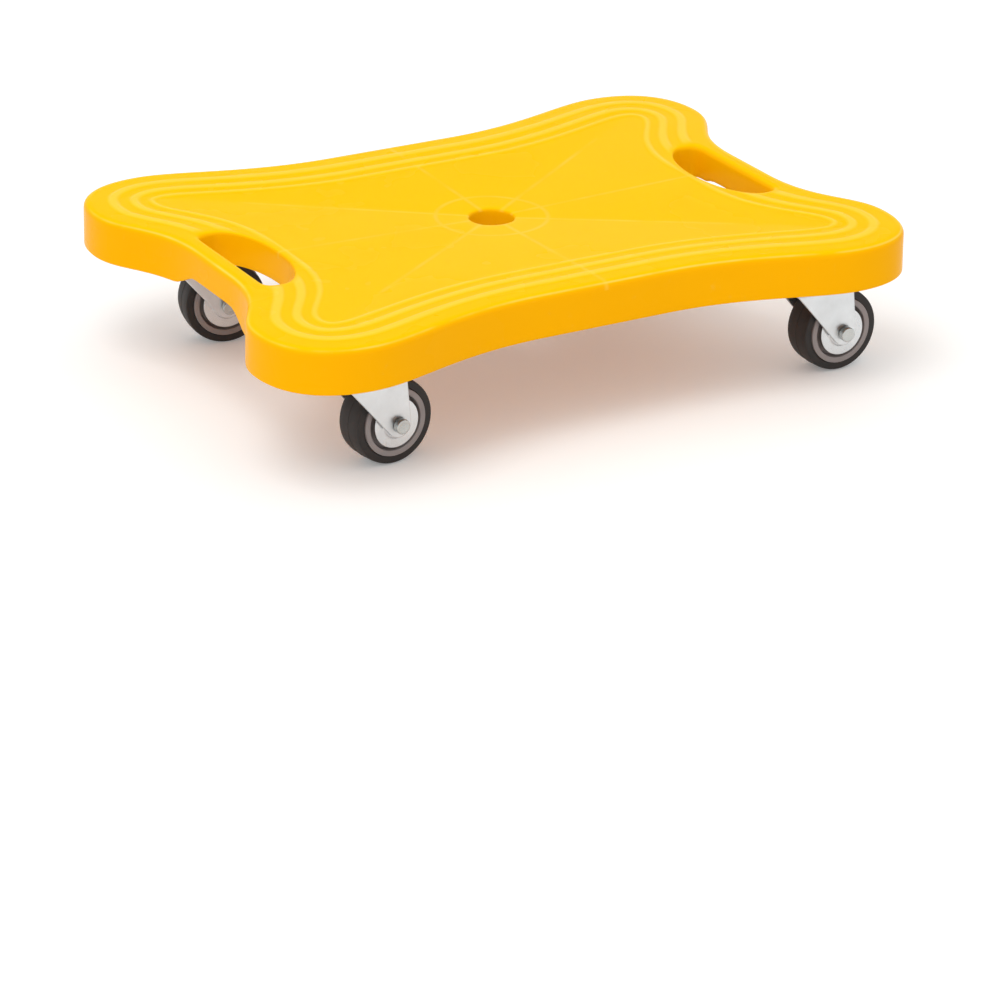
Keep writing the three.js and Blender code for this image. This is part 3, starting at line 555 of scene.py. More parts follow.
# Ribs under the deck, moulded with it: a ring round the rope tube, two rings of straight webs
# and sixteen spokes out to the skirt, all thinner toward the foot so that the mould lets go.
rib_foot, rib_foot_half, rib_root_half, rib_round = deck_top - 15 * mm, 1.0 * mm, 1.4 * mm, 0.6 * mm
rib_bury, rib_flare, flare_rise, rib_pitch = 0.6 * mm, 0.8 * mm, 1.2 * mm, 6 * mm
hub_ring_radius, inner_web_share, outer_web_share, skirt_share = 32.5 * mm, 0.53, 0.78, 0.65
pad_length, pad_width, pad_wall, pad_corner = 58.4 * mm, 48.4 * mm, 2.8 * mm, 6 * mm
outline_steps, clear_steps, least_run, ring_steps, foot_steps = 1440, 1201, 12, 72, 7
tightest_mitre, sharp_angle = 0.3, math.radians(40)
hinges = {joint["name"]: joint for joint in frame["record"]["behaviour"]["joints"]}
caster_names = sorted(name[:-len("_swivel_turn")] for name in hinges if name.endswith("_swivel_turn"))
kingpins = {name: np.array(hinges[name + "_swivel_turn"]["pos_m"][:2]) for name in caster_names}


def unit(vectors):
    """Vectors over their own lengths."""
    return vectors / np.linalg.norm(vectors, axis=-1, keepdims=True)


def strip_faces(numbers, closed):
    """Quads and end caps of a grid of rings, its last ring joined to the first where closed."""
    if closed:
        return ring_faces(np.vstack([numbers, numbers[:1]])), []
    return ring_faces(numbers), [numbers[0][::-1], numbers[-1]]


def swept(path, section, closed_path):
    """Grid of a closed section carried along a plan path.

    Each section point (out, z) goes out along the path's mitred normal, the mean of the two
    neighbouring normals stretched so that both walls keep their thickness. Path points are
    rows; section may be one outline or one for each path point.
    """
    ahead = np.roll(path, -1, axis=0) - path
    behind = path - np.roll(path, 1, axis=0)
    if not closed_path:
        ahead[-1], behind[0] = behind[-1], ahead[0]
    ahead = unit(ahead)
    mean = unit(ahead + unit(behind))
    stretch = 1 / np.maximum(np.einsum("ij,ij->i", mean, ahead), tightest_mitre)
    normal = np.column_stack([mean[:, 1], -mean[:, 0]]) * stretch[:, None]
    section = np.broadcast_to(section, (len(path), *np.shape(section)[-2:]))
    plan = path[:, None, :] + normal[:, None, :] * section[:, :, :1]
    grid = np.concatenate([plan, section[:, :, 1:]], axis=2)
    numbers = np.arange(grid.shape[0] * grid.shape[1]).reshape(grid.shape[:2])
    return grid.reshape(-1, 3), *strip_faces(numbers, closed_path)


def gathered(parts):
    """One set of points, quads and caps from several, with the numbers moved on."""
    points, quads, caps, start = [], [], [], 0
    for part_points, part_quads, part_caps in parts:
        points.append(part_points)
        quads.append(part_quads + start)
        caps += [cap + start for cap in part_caps]
        start += len(part_points)
    return np.concatenate(points), np.concatenate(quads), caps


def rib(path, closed=False):
    """A rib along a plan path, its foot a half round with a flat, its root flared and buried in
    the ceiling."""
    turn = np.linspace(np.pi, 2 * np.pi, foot_steps)
    foot_out = np.sign(np.cos(turn)) * (rib_foot_half - rib_round) + rib_round * np.cos(turn)
    foot_z = np.broadcast_to(rib_foot + rib_round * (1 + np.sin(turn)), (len(path), foot_steps))
    flare_half = rib_root_half + rib_flare
    out = np.concatenate([foot_out, [rib_root_half, flare_half, -flare_half, -rib_root_half]])
    top = ceiling + rib_bury - dish_drop(path[:, 0], path[:, 1])
    root_z = top[:, None] - (rib_bury + flare_rise) * np.array([1, 0, 0, 1])
    z = np.concatenate([foot_z, root_z], axis=1)
    return swept(path, np.stack([np.broadcast_to(out, z.shape), z], axis=2), closed)


def straight_rib(start, end):
    """A rib from start to end, in steps of the ribs' pitch."""
    count = max(2, int(np.linalg.norm(end - start) / rib_pitch))
    return rib(start + (end - start) * np.linspace(0, 1, count)[:, None])


def clear_ribs(start, end):
    """Ribs on the parts of a line from start to end that lie outside the caster pads, where a
    part is longer than the least run of the line's steps."""
    line = start + (end - start) * np.linspace(0, 1, clear_steps)[:, None]
    clear = np.ones(clear_steps, bool)
    for place in kingpins.values():
        heading = unit(place)
        along, across = (line - place) @ heading, (line - place) @ [-heading[1], heading[0]]
        clear &= ((np.abs(along) > (pad_length - pad_wall) / 2)
                  | (np.abs(across) > (pad_width - pad_wall) / 2))
    edges = np.flatnonzero(np.diff(np.concatenate([[0], clear.astype(int), [0]])))
    return [straight_rib(line[a], line[b - 1]) for a, b in zip(edges[::2], edges[1::2])
            if b - a > least_run]


outline = np.column_stack(deck_line(np.arange(outline_steps) / outline_steps, skirt_wall * skirt_share))
outline_turn = np.arctan2(outline[:, 1], outline[:, 0])
order = np.argsort(outline_turn)
outline_turn, outline_reach = outline_turn[order], np.hypot(*outline[order].T)
half_round = np.array([[dish_x, 0], [dish_lobe_x, dish_lobe_y], [0, dish_y], [-dish_lobe_x, dish_lobe_y]])
corners = np.concatenate([half_round, -half_round])
halfway = (corners + np.roll(corners, -1, axis=0)) / 2
tube_middle = hole_radius + tube_wall / 2
parts = []
for place, first in [*((corner, tube_middle) for corner in corners),
                     *((corner, hub_ring_radius) for corner in halfway)]:
    heading = unit(place)
    reach = np.interp(math.atan2(place[1], place[0]), outline_turn, outline_reach, period=2 * np.pi)
    meets_slot = abs(heading[1]) < abs(heading[0]) / 100
    if meets_slot:
        parts.append(straight_rib(heading * first, heading * (slot_inner - well_wall / 2)))
        parts.append(straight_rib(heading * (slot_outer + well_wall / 2), heading * reach))
    else:
        parts += clear_ribs(heading * first, heading * reach)
for share in (inner_web_share, outer_web_share):
    for corner, following in zip(corners * share, np.roll(corners, -1, axis=0) * share):
        parts += clear_ribs(corner, following)
ring_turn = np.arange(ring_steps) / ring_steps * 2 * np.pi
parts.append(rib(hub_ring_radius * np.column_stack([np.cos(ring_turn), np.sin(ring_turn)]), True))
ribs, _ = mesh_object("deck_ribs", *gathered(parts))
ribs.data.set_sharp_from_angle(angle=sharp_angle)
dressed(ribs, deck_plastic, "deck", "deck_assembly")


# Caster pads: a rounded box wall and four screw bosses with pilot holes under each lobe,
# moulded with the deck, open below until the mounting plate is screwed on.
pad_foot_round, pilot_end_round = 0.5 * mm, 0.03 * mm
boss_radius, pilot_radius, pilot_depth, pilot_cone = 6.3 * mm, 1.8 * mm, 13 * mm, 0.8 * mm
core_radius, corner_steps, boss_columns, flat_hold = 0.1 * mm, 8, 32, 1.4
screw_places = np.array([(1, 1), (-1, 1), (-1, -1), (1, -1)]) * [21.5 * mm, 16.5 * mm]


def placed(place, heading, points):
    """Points with their X axis turned to a unit heading in plan, their middle moved to a place."""
    c, s = heading
    moved = np.array(points, float)
    moved[:, 0] = place[0] + c * points[:, 0] - s * points[:, 1]
    moved[:, 1] = place[1] + s * points[:, 0] + c * points[:, 1]
    return moved


def pad_place(name, points):
    """Points of a caster's mounting seen from its kingpin, turned along the line to the middle."""
    return placed(kingpins[name], unit(kingpins[name]), points)


def rounded_rectangle(length, width, corner, steps):
    """Plan line of a rectangle with round corners: a quarter circle about each corner's middle."""
    turn = np.linspace(0, np.pi / 2, steps)[None, :] + np.arange(4)[:, None] * np.pi / 2
    middle_x = (length / 2 - corner) * np.array([1, -1, -1, 1])[:, None]
    middle_y = (width / 2 - corner) * np.array([1, 1, -1, -1])[:, None]
    rounds = [middle_x + corner * np.cos(turn), middle_y + corner * np.sin(turn)]
    return np.stack(rounds, axis=2).reshape(-1, 2)


def turned(profile, columns):
    """Rings of a profile of (radius, height) rows about the Z axis. Equal ends make a closed
    ring, and others, at the core's radius, are each closed by a flat cap."""
    turn = np.arange(columns) / columns * 2 * np.pi
    closed = np.allclose(profile[0], profile[-1])
    radii, heights = (profile[:-1] if closed else profile).T[:, :, None]
    grid = np.stack([radii * np.cos(turn), radii * np.sin(turn), heights + 0 * turn], axis=2)
    numbers = np.arange(len(radii) * columns).reshape(-1, columns)
    return grid.reshape(-1, 3), *strip_faces(numbers, closed)


def filleted(corners, radii, closed=False, steps=3):
    """The line through the corners with each corner rounded.

    A corner is cut back by its radius along both sides and bowed as the square weights
    (1-t)^2 and t^2 of the two cut points say. One more point lies a little further out on
    either side, to hold the flat beside the round.
    """
    corners = np.asarray(corners, float)
    radii = np.broadcast_to(np.asarray(radii, float), len(corners))[:, None, None]
    before = unit(np.roll(corners, 1, axis=0) - corners)
    after = unit(np.roll(corners, -1, axis=0) - corners)
    t = np.linspace(0, 1, steps + 1)
    to_before = np.concatenate([[flat_hold], (1 - t) ** 2, [0]])[None, :, None]
    to_after = np.concatenate([[0], t ** 2, [flat_hold]])[None, :, None]
    line = corners[:, None] + radii * (to_before * before[:, None] + to_after * after[:, None])
    if closed:
        line = line.reshape(-1, 2)
        return np.vstack([line, line[:1]])
    return np.vstack([corners[:1], line[1:-1].reshape(-1, 2), corners[-1:]])


half, wall_top, pilot_end = pad_wall / 2, ceiling + rib_bury, skirt_foot + pilot_depth
pad_line = rounded_rectangle(pad_length - pad_wall, pad_width - pad_wall, pad_corner - half,
                             corner_steps)
pad_section = filleted([[half, skirt_foot], [half, wall_top], [-half, wall_top], [-half, skirt_foot]],
                       pad_foot_round, closed=True)[:-1]
boss_profile = filleted([[pilot_radius, skirt_foot], [boss_radius, skirt_foot], [boss_radius, wall_top],
                         [core_radius, wall_top], [core_radius, pilot_end],
                         [pilot_radius, pilot_end - pilot_cone]], pilot_end_round, closed=True)
parts = []
for name in caster_names:
    points, quads, caps = swept(pad_line, pad_section, True)
    parts.append((pad_place(name, points), quads, caps))
    for place in screw_places:
        points, quads, caps = turned(boss_profile, boss_columns)
        parts.append((pad_place(name, points + [*place, 0]), quads, caps))
pads, _ = mesh_object("deck_caster_pads", *gathered(parts))
pads.data.set_sharp_from_angle(angle=sharp_angle)
dressed(pads, deck_plastic, "deck", "deck_assembly")


# Mounting plates, one under each pad: 2 mm steel cut to a rounded rectangle and zinc plated,
# with a hole for the kingpin, held by four pan-head screws into the pad's bosses.
plate_length, plate_width, plate_corner = 56 * mm, 46 * mm, 6 * mm
plate_foot, plate_top, plate_edge, kingpin_bore = 62.5 * mm, 64.5 * mm, 0.4 * mm, 4.8 * mm
plate_corner_steps, edge_steps, flat_shares = 10, 9, (0, 0.5, 0.96)


def fine_surface(name, fine, coarse, tones, rough, bump, values):
    """Material with a fine bumpy grain, and coarse clouds that shift its tone and roughness.

    Both noises are given by size, detail and roughness, and the bump by strength and height.
    The clouds mix the two tones, and move the roughness between its two values if it has two.
    """
    material, tree, place = new_material(name)
    grain, cloud = (
        add_node(tree, "TexNoise", {"Scale": 1 / size, "Detail": detail, "Roughness": rough_share},
                 {"Vector": place})
        for size, detail, rough_share in (fine, coarse))
    tone = add_node(tree, "Mix", {first_in: linear(tones[0]), second_in: linear(tones[1])},
                    {share_in: cloud}, data_type="RGBA").outputs[mixed_out]
    relief = add_node(tree, "Bump", {"Strength": bump[0], "Distance": bump[1]}, {"Height": grain})
    links = {"Base Color": tone, "Normal": relief}
    if len(rough) > 1:
        links["Roughness"] = add_node(tree, "MapRange", {"To Min": rough[0], "To Max": rough[1]},
                                      {"Value": cloud})
    shader = add_node(tree, "BsdfPrincipled", {"Roughness": rough[0], **values}, links)
    add_node(tree, "OutputMaterial", links={"Surface": shader})
    return material


# Bright zinc plating: pale blue-grey metal, satin where the steel was pressed and glossier where
# it was turned or cold headed, with the rivets' heads a little duller. The plated grain is under
# 0.1 mm and is drawn 0.6 mm wide so that it shows.
pressed_zinc, turned_zinc, rivet_zinc = (
    fine_surface(name, (0.6 * mm, 3, 0.5), (14 * mm, 4, 0.6), tones, rough, (strength, 0.03 * mm),
                 {"Metallic": 1.0})
    for name, tones, rough, strength in (
        ("zinc_plated_pressed_steel", ("#e3e6e8", "#c9cbcc"), (0.30, 0.46), 0.25),
        ("zinc_plated_turned_steel", ("#e3e6e8", "#c9cbcc"), (0.18, 0.34), 0.1),
        ("zinc_plated_cold_headed_steel", ("#c9cbc9", "#aeb0ae"), (0.18, 0.34), 0.1)))


def caster_pieces(body, place, kinds):
    """The closed pieces of some kinds, made and dressed for every caster.

    body names what they ride on, with {} for the caster's name, and place moves a caster's
    points. A kind is the mesh's and the node's name after the caster's, the slot, the material,
    and a shape's points, quads and caps.
    """
    made = []
    for name in caster_names:
        for mesh_name, node, slot_name, material, (points, quads, caps) in kinds:
            piece, _ = mesh_object(name + mesh_name, place(name, points), quads, caps)
            made.append(dressed(piece, material, name + node, body.format(name)))
    return made


# Rows of the plate's section as (share of the way from the bore to the edge, inset, height)
plate_line = rounded_rectangle(plate_length, plate_width, plate_corner, plate_corner_steps)
line_turn = np.arctan2(plate_line[:, 1], plate_line[:, 0])
bore_line = kingpin_bore * np.column_stack([np.cos(line_turn), np.sin(line_turn)])
plate_middle, flat_half = (plate_foot + plate_top) / 2, (plate_top - plate_foot) / 2 - plate_edge
plate_rows = [(t, 0, plate_foot) for t in flat_shares]
plate_rows += [(1, plate_edge * (np.cos(angle) - 1),
                plate_middle + math.copysign(flat_half, angle) + plate_edge * np.sin(angle))
               for angle in np.linspace(-np.pi / 2, np.pi / 2, edge_steps)]
plate_rows += [(t, 0, plate_top) for t in flat_shares[::-1]]
plate_grid = []
for share, inset, z in plate_rows:
    plan = bore_line + (plate_line - bore_line) * share
    plan = plan * (1 + inset / np.linalg.norm(plan, axis=1, keepdims=True))
    plate_grid.append(np.column_stack([plan, np.full(len(plan), z)]))
plate_numbers = np.arange(len(plate_rows) * len(plate_line)).reshape(len(plate_rows), -1)
plate_shape = (np.concatenate(plate_grid), *strip_faces(plate_numbers, True))
caster_pieces("deck_assembly", pad_place,
              [("_plate", "_mounting_plate", "zinc_steel", pressed_zinc, plate_shape)])


# Pan-head screws, sixteen in all: turned heads with a pressed cross recess, zinc plated. Each
# stopped at its own turn when it was driven home.
screw_head_radius, screw_head_height, screw_radius, screw_length = 4 * mm, 2.4 * mm, 2 * mm, 12 * mm
recess_reach, recess_half, recess_depth, recess_flank = 2.1 * mm, 0.45 * mm, 1.1 * mm, 0.25 * mm
pan_start, pan_end, pan_crown, pan_edge, pan_turn, pan_fullness = 0.02, 0.80, 0.28, 0.82, 0.25, 0.8
head_columns, head_rings, rim_rings, first_turn, turn_step = 48, 14, 6, 0.4, 1.1
seat_gap, pan_skirt, recess_sharp = 0.3 * mm, 0.5 * mm, math.radians(50)


def recess_drop(x, y):
    """Depth of the cross: full where either slot is nearer than its half width, with a smooth
    flank at its sides, a straight one at its ends, and half as deep at its reach."""
    ax, ay = np.abs(x), np.abs(y)
    across, along = np.minimum(ax, ay), np.maximum(ax, ay)
    side = eased((recess_half + recess_flank - across) / recess_flank)
    end = np.clip((recess_reach + recess_flank - along) / recess_flank, 0, 1)
    return recess_depth * side * end * (1 - 0.5 * along / recess_reach)


head_top = plate_foot - seat_gap
head_turn = np.arange(head_columns) / head_columns * 2 * np.pi
head_shares = np.linspace(pan_start, pan_end, head_rings)[:, None]
ring_x, ring_y = head_shares * screw_head_radius * [[np.cos(head_turn)], [np.sin(head_turn)]]
pan_rise = screw_head_height * (1 - pan_crown * head_shares ** 2)
pan = np.stack([ring_x, ring_y, head_top - pan_rise + recess_drop(ring_x, ring_y)], axis=2)
rim_turn = np.linspace(pan_turn, np.pi / 2, rim_rings)
rim_rise = screw_head_height * pan_edge * np.cos(rim_turn) ** pan_fullness
flange = np.column_stack([screw_head_radius * (pan_end + (1 - pan_end) * np.sin(rim_turn)),
                          head_top - np.maximum(rim_rise, pan_skirt)])
shank = [[screw_head_radius, head_top], [screw_radius, head_top],
         [screw_radius, head_top + screw_length - screw_radius], [core_radius, head_top + screw_length]]
screw_points = np.concatenate([pan.reshape(-1, 3), turned(np.vstack([flange, shank]), head_columns)[0]])
screw_faces = strip_faces(np.arange(len(screw_points)).reshape(-1, head_columns), False)
screw_kinds = []
for i, place in enumerate(screw_places):
    turn = first_turn + turn_step * i
    driven = placed(place, (math.cos(turn), math.sin(turn)), screw_points)
    screw_kinds.append((f"_screw_{i + 1}", f"_plate_screw_{i + 1}", "zinc_steel", turned_zinc,
                        (driven, *screw_faces)))
for screw in caster_pieces("deck_assembly", pad_place, screw_kinds):
    screw.data.set_sharp_from_angle(angle=recess_sharp)


# Swivel heads: two pressed cups with the balls between them, drawn as one ring with a groove
# where they part, and the kingpin, a rivet through plate, cups and fork with a head at each end.
race_radius, race_bore, race_foot, race_top = 18.5 * mm, 12 * mm, 56.6 * mm, 62.2 * mm
race_cone, cup_flare, cup_lip = 2.8 * mm, 1.4 * mm, 1.2 * mm
race_split, split_depth, split_half = 58.9 * mm, 0.9 * mm, 0.35 * mm
kingpin_radius, kingpin_head, kingpin_rise, head_cone = 4.5 * mm, 7.5 * mm, 2.2 * mm, 1.1 * mm
crown_top, crown_foot, upper_head_foot, swivel_columns = 56.3 * mm, 54.4 * mm, 64.8 * mm, 64
lower_head_top = crown_foot - seat_gap
race_profile = filleted([
    [race_bore, race_foot + race_cone], [race_bore + race_cone, race_foot],
    [race_radius - cup_flare, race_foot], [race_radius, race_split - split_half],
    [race_radius - split_depth, race_split], [race_radius, race_split + split_half],
    [race_radius - cup_lip, race_top], [race_bore, race_top],
], np.array([0.5, 0.5, 0.8, 0.12, 0.1, 0.12, 0.5, 0.4]) * mm, closed=True)
kingpin_profile = filleted([
    [core_radius, lower_head_top - kingpin_rise], [kingpin_head - head_cone, lower_head_top - kingpin_rise],
    [kingpin_head, lower_head_top], [kingpin_radius, lower_head_top],
    [kingpin_radius, upper_head_foot], [kingpin_head - head_cone, upper_head_foot],
    [kingpin_radius, upper_head_foot + kingpin_rise], [core_radius, upper_head_foot + kingpin_rise],
], np.array([0.05, 0.7, 0.25, 0.1, 0.1, 0.25, 0.7, 0.05]) * mm)
caster_pieces("deck_assembly", pad_place, [
    ("_ball_race", "_swivel_race", "zinc_steel", pressed_zinc, turned(race_profile, swivel_columns)),
    ("_kingpin_rivet", "_kingpin", "zinc_steel", turned_zinc, turned(kingpin_profile, swivel_columns))])


# Forks: one 1.9 mm steel strip pressed to a U with a round crown, its legs swept back to the
# axle with a round end, then zinc plated.
fork_half, fork_sheet, fork_bend = 14.3 * mm, 1.9 * mm, 5.4 * mm
fork_edge, edge_sharp, same_place = 0.35 * mm, math.radians(50), 0.001 * mm
crown_radius, end_radius, axle_hole = 19.5 * mm, 7.6 * mm, 3.3 * mm
lead_top, tail_top, fan_rings = 9.6 * mm, 26.6 * mm, 7
lead_steps, end_steps, tail_steps, nose_steps, leg_columns, bend_rows = 18, 20, 10, 18, 14, 7
axle_place = {name: np.array(hinges[name + "_wheel_spin"]["pos_m"]) for name in caster_names}
trails = {name: axle_place[name][:2] - kingpins[name] for name in caster_names}
trail = float(np.linalg.norm(trails[caster_names[0]]))
axle_z = float(axle_place[caster_names[0]][2])


def swivel_place(name, points):
    """Points of a fork seen from its kingpin, the axle behind it along X, turned to its heading."""
    return placed(kingpins[name], trails[name] / trail, points)


def hole_fan(outline, middle, radius):
    """Points and quads of rings from a round hole out to a closed outline round it, each hole
    point lying half way between its outline point's direction and an even share of the circle."""
    away = outline - middle
    direction = np.unwrap(np.arctan2(away[:, 1], away[:, 0]))
    full_turn = math.copysign(2 * np.pi, direction[-1] - direction[0])
    even = direction[0] + np.arange(len(outline)) / len(outline) * full_turn
    direction = (direction + even) / 2
    hole = middle + radius * np.column_stack([np.cos(direction), np.sin(direction)])
    fan = hole + (outline - hole) * np.linspace(0, 1, fan_rings)[:, None, None]
    return fan.reshape(-1, 2), ring_faces(np.arange(fan_rings * len(outline)).reshape(fan_rings, -1))


def tail_at(z):
    """X of the leg's trailing edge: straight from the axle's round end up to the crown."""
    return trail + end_radius + (tail_top - trail - end_radius) * (z - axle_z) / (crown_top - axle_z)


# The leg's outline: straight down the leading edge, round the end, up the tail and back
bend_z = crown_top - fork_bend
lead, axle = np.array([-lead_top, bend_z]), np.array([trail, axle_z])
away = lead - axle
lean = math.atan2(away[1], away[0]) + math.acos(end_radius / np.linalg.norm(away))
touch = axle + end_radius * np.array([math.cos(lean), math.sin(lean)])
straight = lead + (touch - lead) * np.linspace(0, 1, lead_steps)[:, None]
round_turn = np.linspace(lean, 2 * np.pi, end_steps)[1:]
round_end = axle + end_radius * np.column_stack([np.cos(round_turn), np.sin(round_turn)])
rise = np.linspace(axle_z, bend_z, tail_steps)[1:]
tail = np.column_stack([tail_at(rise), rise])
top_share = np.linspace(1, 0, leg_columns)
leg_top = np.column_stack([lead[0] + (tail[-1, 0] - lead[0]) * top_share, bend_z + 0 * top_share])
leg_line = np.concatenate([straight, round_end, tail[:-1], leg_top[:-1]])
leg_plan, leg_quads = hole_fan(leg_line, axle, axle_hole)

# The bend from leg to crown, then the crown between both bends, round at its nose
bend_turn = np.linspace(0, np.pi / 2, bend_rows)[:, None]
bend_y = fork_half - fork_bend * (1 - np.cos(bend_turn))
bend_height = bend_z + fork_bend * np.sin(bend_turn)
bend_front = lead[0] + (-np.sqrt(crown_radius**2 - bend_y**2) - lead[0]) * np.sin(bend_turn)
bend_x = bend_front + (tail_at(bend_height) - bend_front) * top_share
bend_grid = np.stack([bend_x, bend_y + 0 * bend_x, bend_height + 0 * bend_x], axis=2)
n = np.arange(bend_x.size).reshape(bend_x.shape)
bend_quads = np.stack([n[:-1, :-1], n[:-1, 1:], n[1:, 1:], n[1:, :-1]], axis=-1).reshape(-1, 4)
crown_side = bend_grid[-1][:, :2]
nose_angle = math.atan2(crown_side[-1][1], crown_side[-1][0])
nose_turn = np.linspace(nose_angle, 2 * np.pi - nose_angle, nose_steps)[1:-1]
nose_line = crown_radius * np.column_stack([np.cos(nose_turn), np.sin(nose_turn)])
tail_line = crown_side[0] - np.outer(np.linspace(0, 1, leg_columns)[1:-1], [0, 2 * crown_side[0][1]])
crown_line = np.concatenate([crown_side, nose_line, crown_side[::-1] * [1, -1], tail_line[::-1]])
crown_plan, crown_quads = hole_fan(crown_line, np.zeros(2), kingpin_bore)
fork_parts = []
for side in (1, -1):
    fork_parts.append((np.insert(leg_plan, 1, side * fork_half, axis=1), leg_quads, []))
    fork_parts.append((bend_grid.reshape(-1, 3) * [1, side, 1], bend_quads, []))
fork_parts.append((np.insert(crown_plan, 2, crown_top, axis=1), crown_quads, []))
fork_kind = ("_pressed_fork", "_fork", "zinc_steel", pressed_zinc, gathered(fork_parts))
for fork in caster_pieces("{}_swivel", swivel_place, [fork_kind]):
    sheet = bmesh.new()
    sheet.from_mesh(fork.data)
    bmesh.ops.remove_doubles(sheet, verts=sheet.verts, dist=same_place)
    bmesh.ops.recalc_face_normals(sheet, faces=sheet.faces)
    if max(sheet.faces, key=lambda face: face.calc_center_median().z).normal.z < 0:
        bmesh.ops.reverse_faces(sheet, faces=sheet.faces)
    sheet.to_mesh(fork.data)
    sheet.free()
    wall = fork.modifiers.new("sheet_thickness", "SOLIDIFY")
    wall.thickness, wall.offset = fork_sheet, -1
    edge = fork.modifiers.new("sheared_edge", "BEVEL")
    edge.width, edge.segments = fork_edge, 2
    edge.limit_method, edge.angle_limit = "ANGLE", edge_sharp


# Axles: a steel rivet with a round head outside each leg, its sleeve inside the wheel, and a
# zinc-plated thread guard on either side of the hub, stepped out to the leg at its middle.
axle_head, axle_seat, axle_end, axle_radius = 4.35 * mm, 14.6 * mm, 18.1 * mm, 3 * mm
dimple_radius, dimple_depth, dimple_out, dimple_in = 2.3 * mm, 0.14 * mm, 0.5 * mm, 0.4 * mm
guard_radius, guard_boss, guard_face, guard_step = 14.3 * mm, 9 * mm, 12.1 * mm, 0.9 * mm
guard_sheet, guard_curl, curl_rise = 0.8 * mm, 0.5 * mm, 0.2 * mm
bush_radius, bush_half, axle_columns = 5 * mm, 10.1 * mm, 72


def on_axle(name, points):
    """Points made about the Z axis, laid down along the fork's axle and turned to its heading."""
    return swivel_place(name, np.column_stack([points[:, 0] + trail, -points[:, 2], points[:, 1] + axle_z]))


def two_sided(half_line, radii, closed=True):
    """Filleted profile of a half line from the middle outwards, joined to its mirror image."""
    half_line, radii = np.array(half_line), np.array(radii) * mm
    return filleted(np.concatenate([half_line[::-1] * [1, -1], half_line]),
                    np.concatenate([radii[::-1], radii]), closed)


rivet_profile = two_sided([
    [axle_radius, axle_seat], [axle_head, axle_seat], [axle_head, axle_end],
    [dimple_radius + dimple_out, axle_end], [dimple_radius - dimple_in, axle_end - dimple_depth],
    [core_radius, axle_end - dimple_depth]], [0.1, 0.2, 0.55, 0.3, 0.3, 0.02], closed=False)
guard_foot = guard_face - guard_step - guard_sheet
guard_profile = filleted([
    [axle_hole, guard_foot], [guard_radius - guard_curl, guard_foot],
    [guard_radius, guard_foot + curl_rise], [guard_radius, guard_foot + guard_sheet],
    [guard_boss, guard_foot + guard_sheet], [guard_boss - guard_sheet, guard_face],
    [axle_hole, guard_face]], np.array([0.1, 0.1, 0.1, 0.25, 0.35, 0.4, 0.1]) * mm, closed=True)
bush_profile = filleted([[axle_hole, -bush_half], [bush_radius, -bush_half], [bush_radius, bush_half],
                         [axle_hole, bush_half]], 0.3 * mm, closed=True)
caster_pieces("{}_swivel", on_axle, [
    (mesh_name, node, "zinc_steel", material, turned(profile, axle_columns))
    for mesh_name, node, material, profile in (
        ("_axle", "_axle_rivet", rivet_zinc, rivet_profile),
        ("_sleeve", "_axle_bush", turned_zinc, bush_profile),
        ("_guard_front", "_thread_guard_front", turned_zinc, guard_profile * [1, -1]),
        ("_guard_back", "_thread_guard_back", turned_zinc, guard_profile))])


# Wheels: a grey moulded polypropylene hub with a recess round its boss, and a dark grey rubber
# tyre moulded over it, its tread slightly crowned with the mould's parting line in the middle.
wheel_radius, tyre_half, tread_half, shoulder = 25 * mm, 9.3 * mm, 6.0 * mm, 0.75 * mm
parting_half, parting_rise = 0.35 * mm, 0.2 * mm
hub_radius, hub_half, rim_width, rim_slope = 19.7 * mm, 10.2 * mm, 3.2 * mm, 0.6 * mm
web_half, hub_boss, hub_bore, wheel_columns = 5.5 * mm, 8.5 * mm, 5.3 * mm, 120
tyre_profile = two_sided([
    [wheel_radius, parting_half / 2], [wheel_radius - parting_rise, parting_half],
    [wheel_radius - parting_rise, tread_half], [wheel_radius - shoulder, tyre_half],
    [hub_radius + seat_gap, tyre_half]], [0.08, 0.08, 1.4, 0.7, 0.3])
hub_profile = two_sided([
    [hub_radius, hub_half], [hub_radius - rim_width, hub_half],
    [hub_radius - rim_width - rim_slope, web_half], [hub_boss, web_half], [hub_boss, bush_half],
    [hub_bore, bush_half]], [0.3, 0.5, 0.8, 0.8, 0.3, 0.2])

# Moulded rubber: dark warm grey and matt, with a dusty bloom. Moulded polypropylene: warm grey
# with a soft gloss. Both keep their moulds' fine texture, which is about 0.1 mm and is drawn 0.7
# and 0.8 mm wide so that it shows.
tyre_rubber = fine_surface(
    "moulded_dark_rubber", (0.7 * mm, 3, 0.5), (8 * mm, 5, 0.65), ("#221e1d", "#37312e"),
    (0.48, 0.7), (0.3, 0.05 * mm), {"IOR": 1.52, "Specular IOR Level": 0.35})
hub_plastic = fine_surface(
    "moulded_grey_polypropylene", (0.8 * mm, 2, 0.5), (12 * mm, 3, 0.5), ("#8f8583", "#9c9290"),
    (0.42,), (0.2, 0.04 * mm), {"IOR": 1.49, "Specular IOR Level": 0.4})
caster_pieces("{}_wheel", on_axle, [
    ("_hub", "_wheel_hub", "hub_plastic", hub_plastic, turned(hub_profile, wheel_columns)),
    ("_rubber_tyre", "_tyre", "tyre_rubber", tyre_rubber, turned(tyre_profile, wheel_columns))])


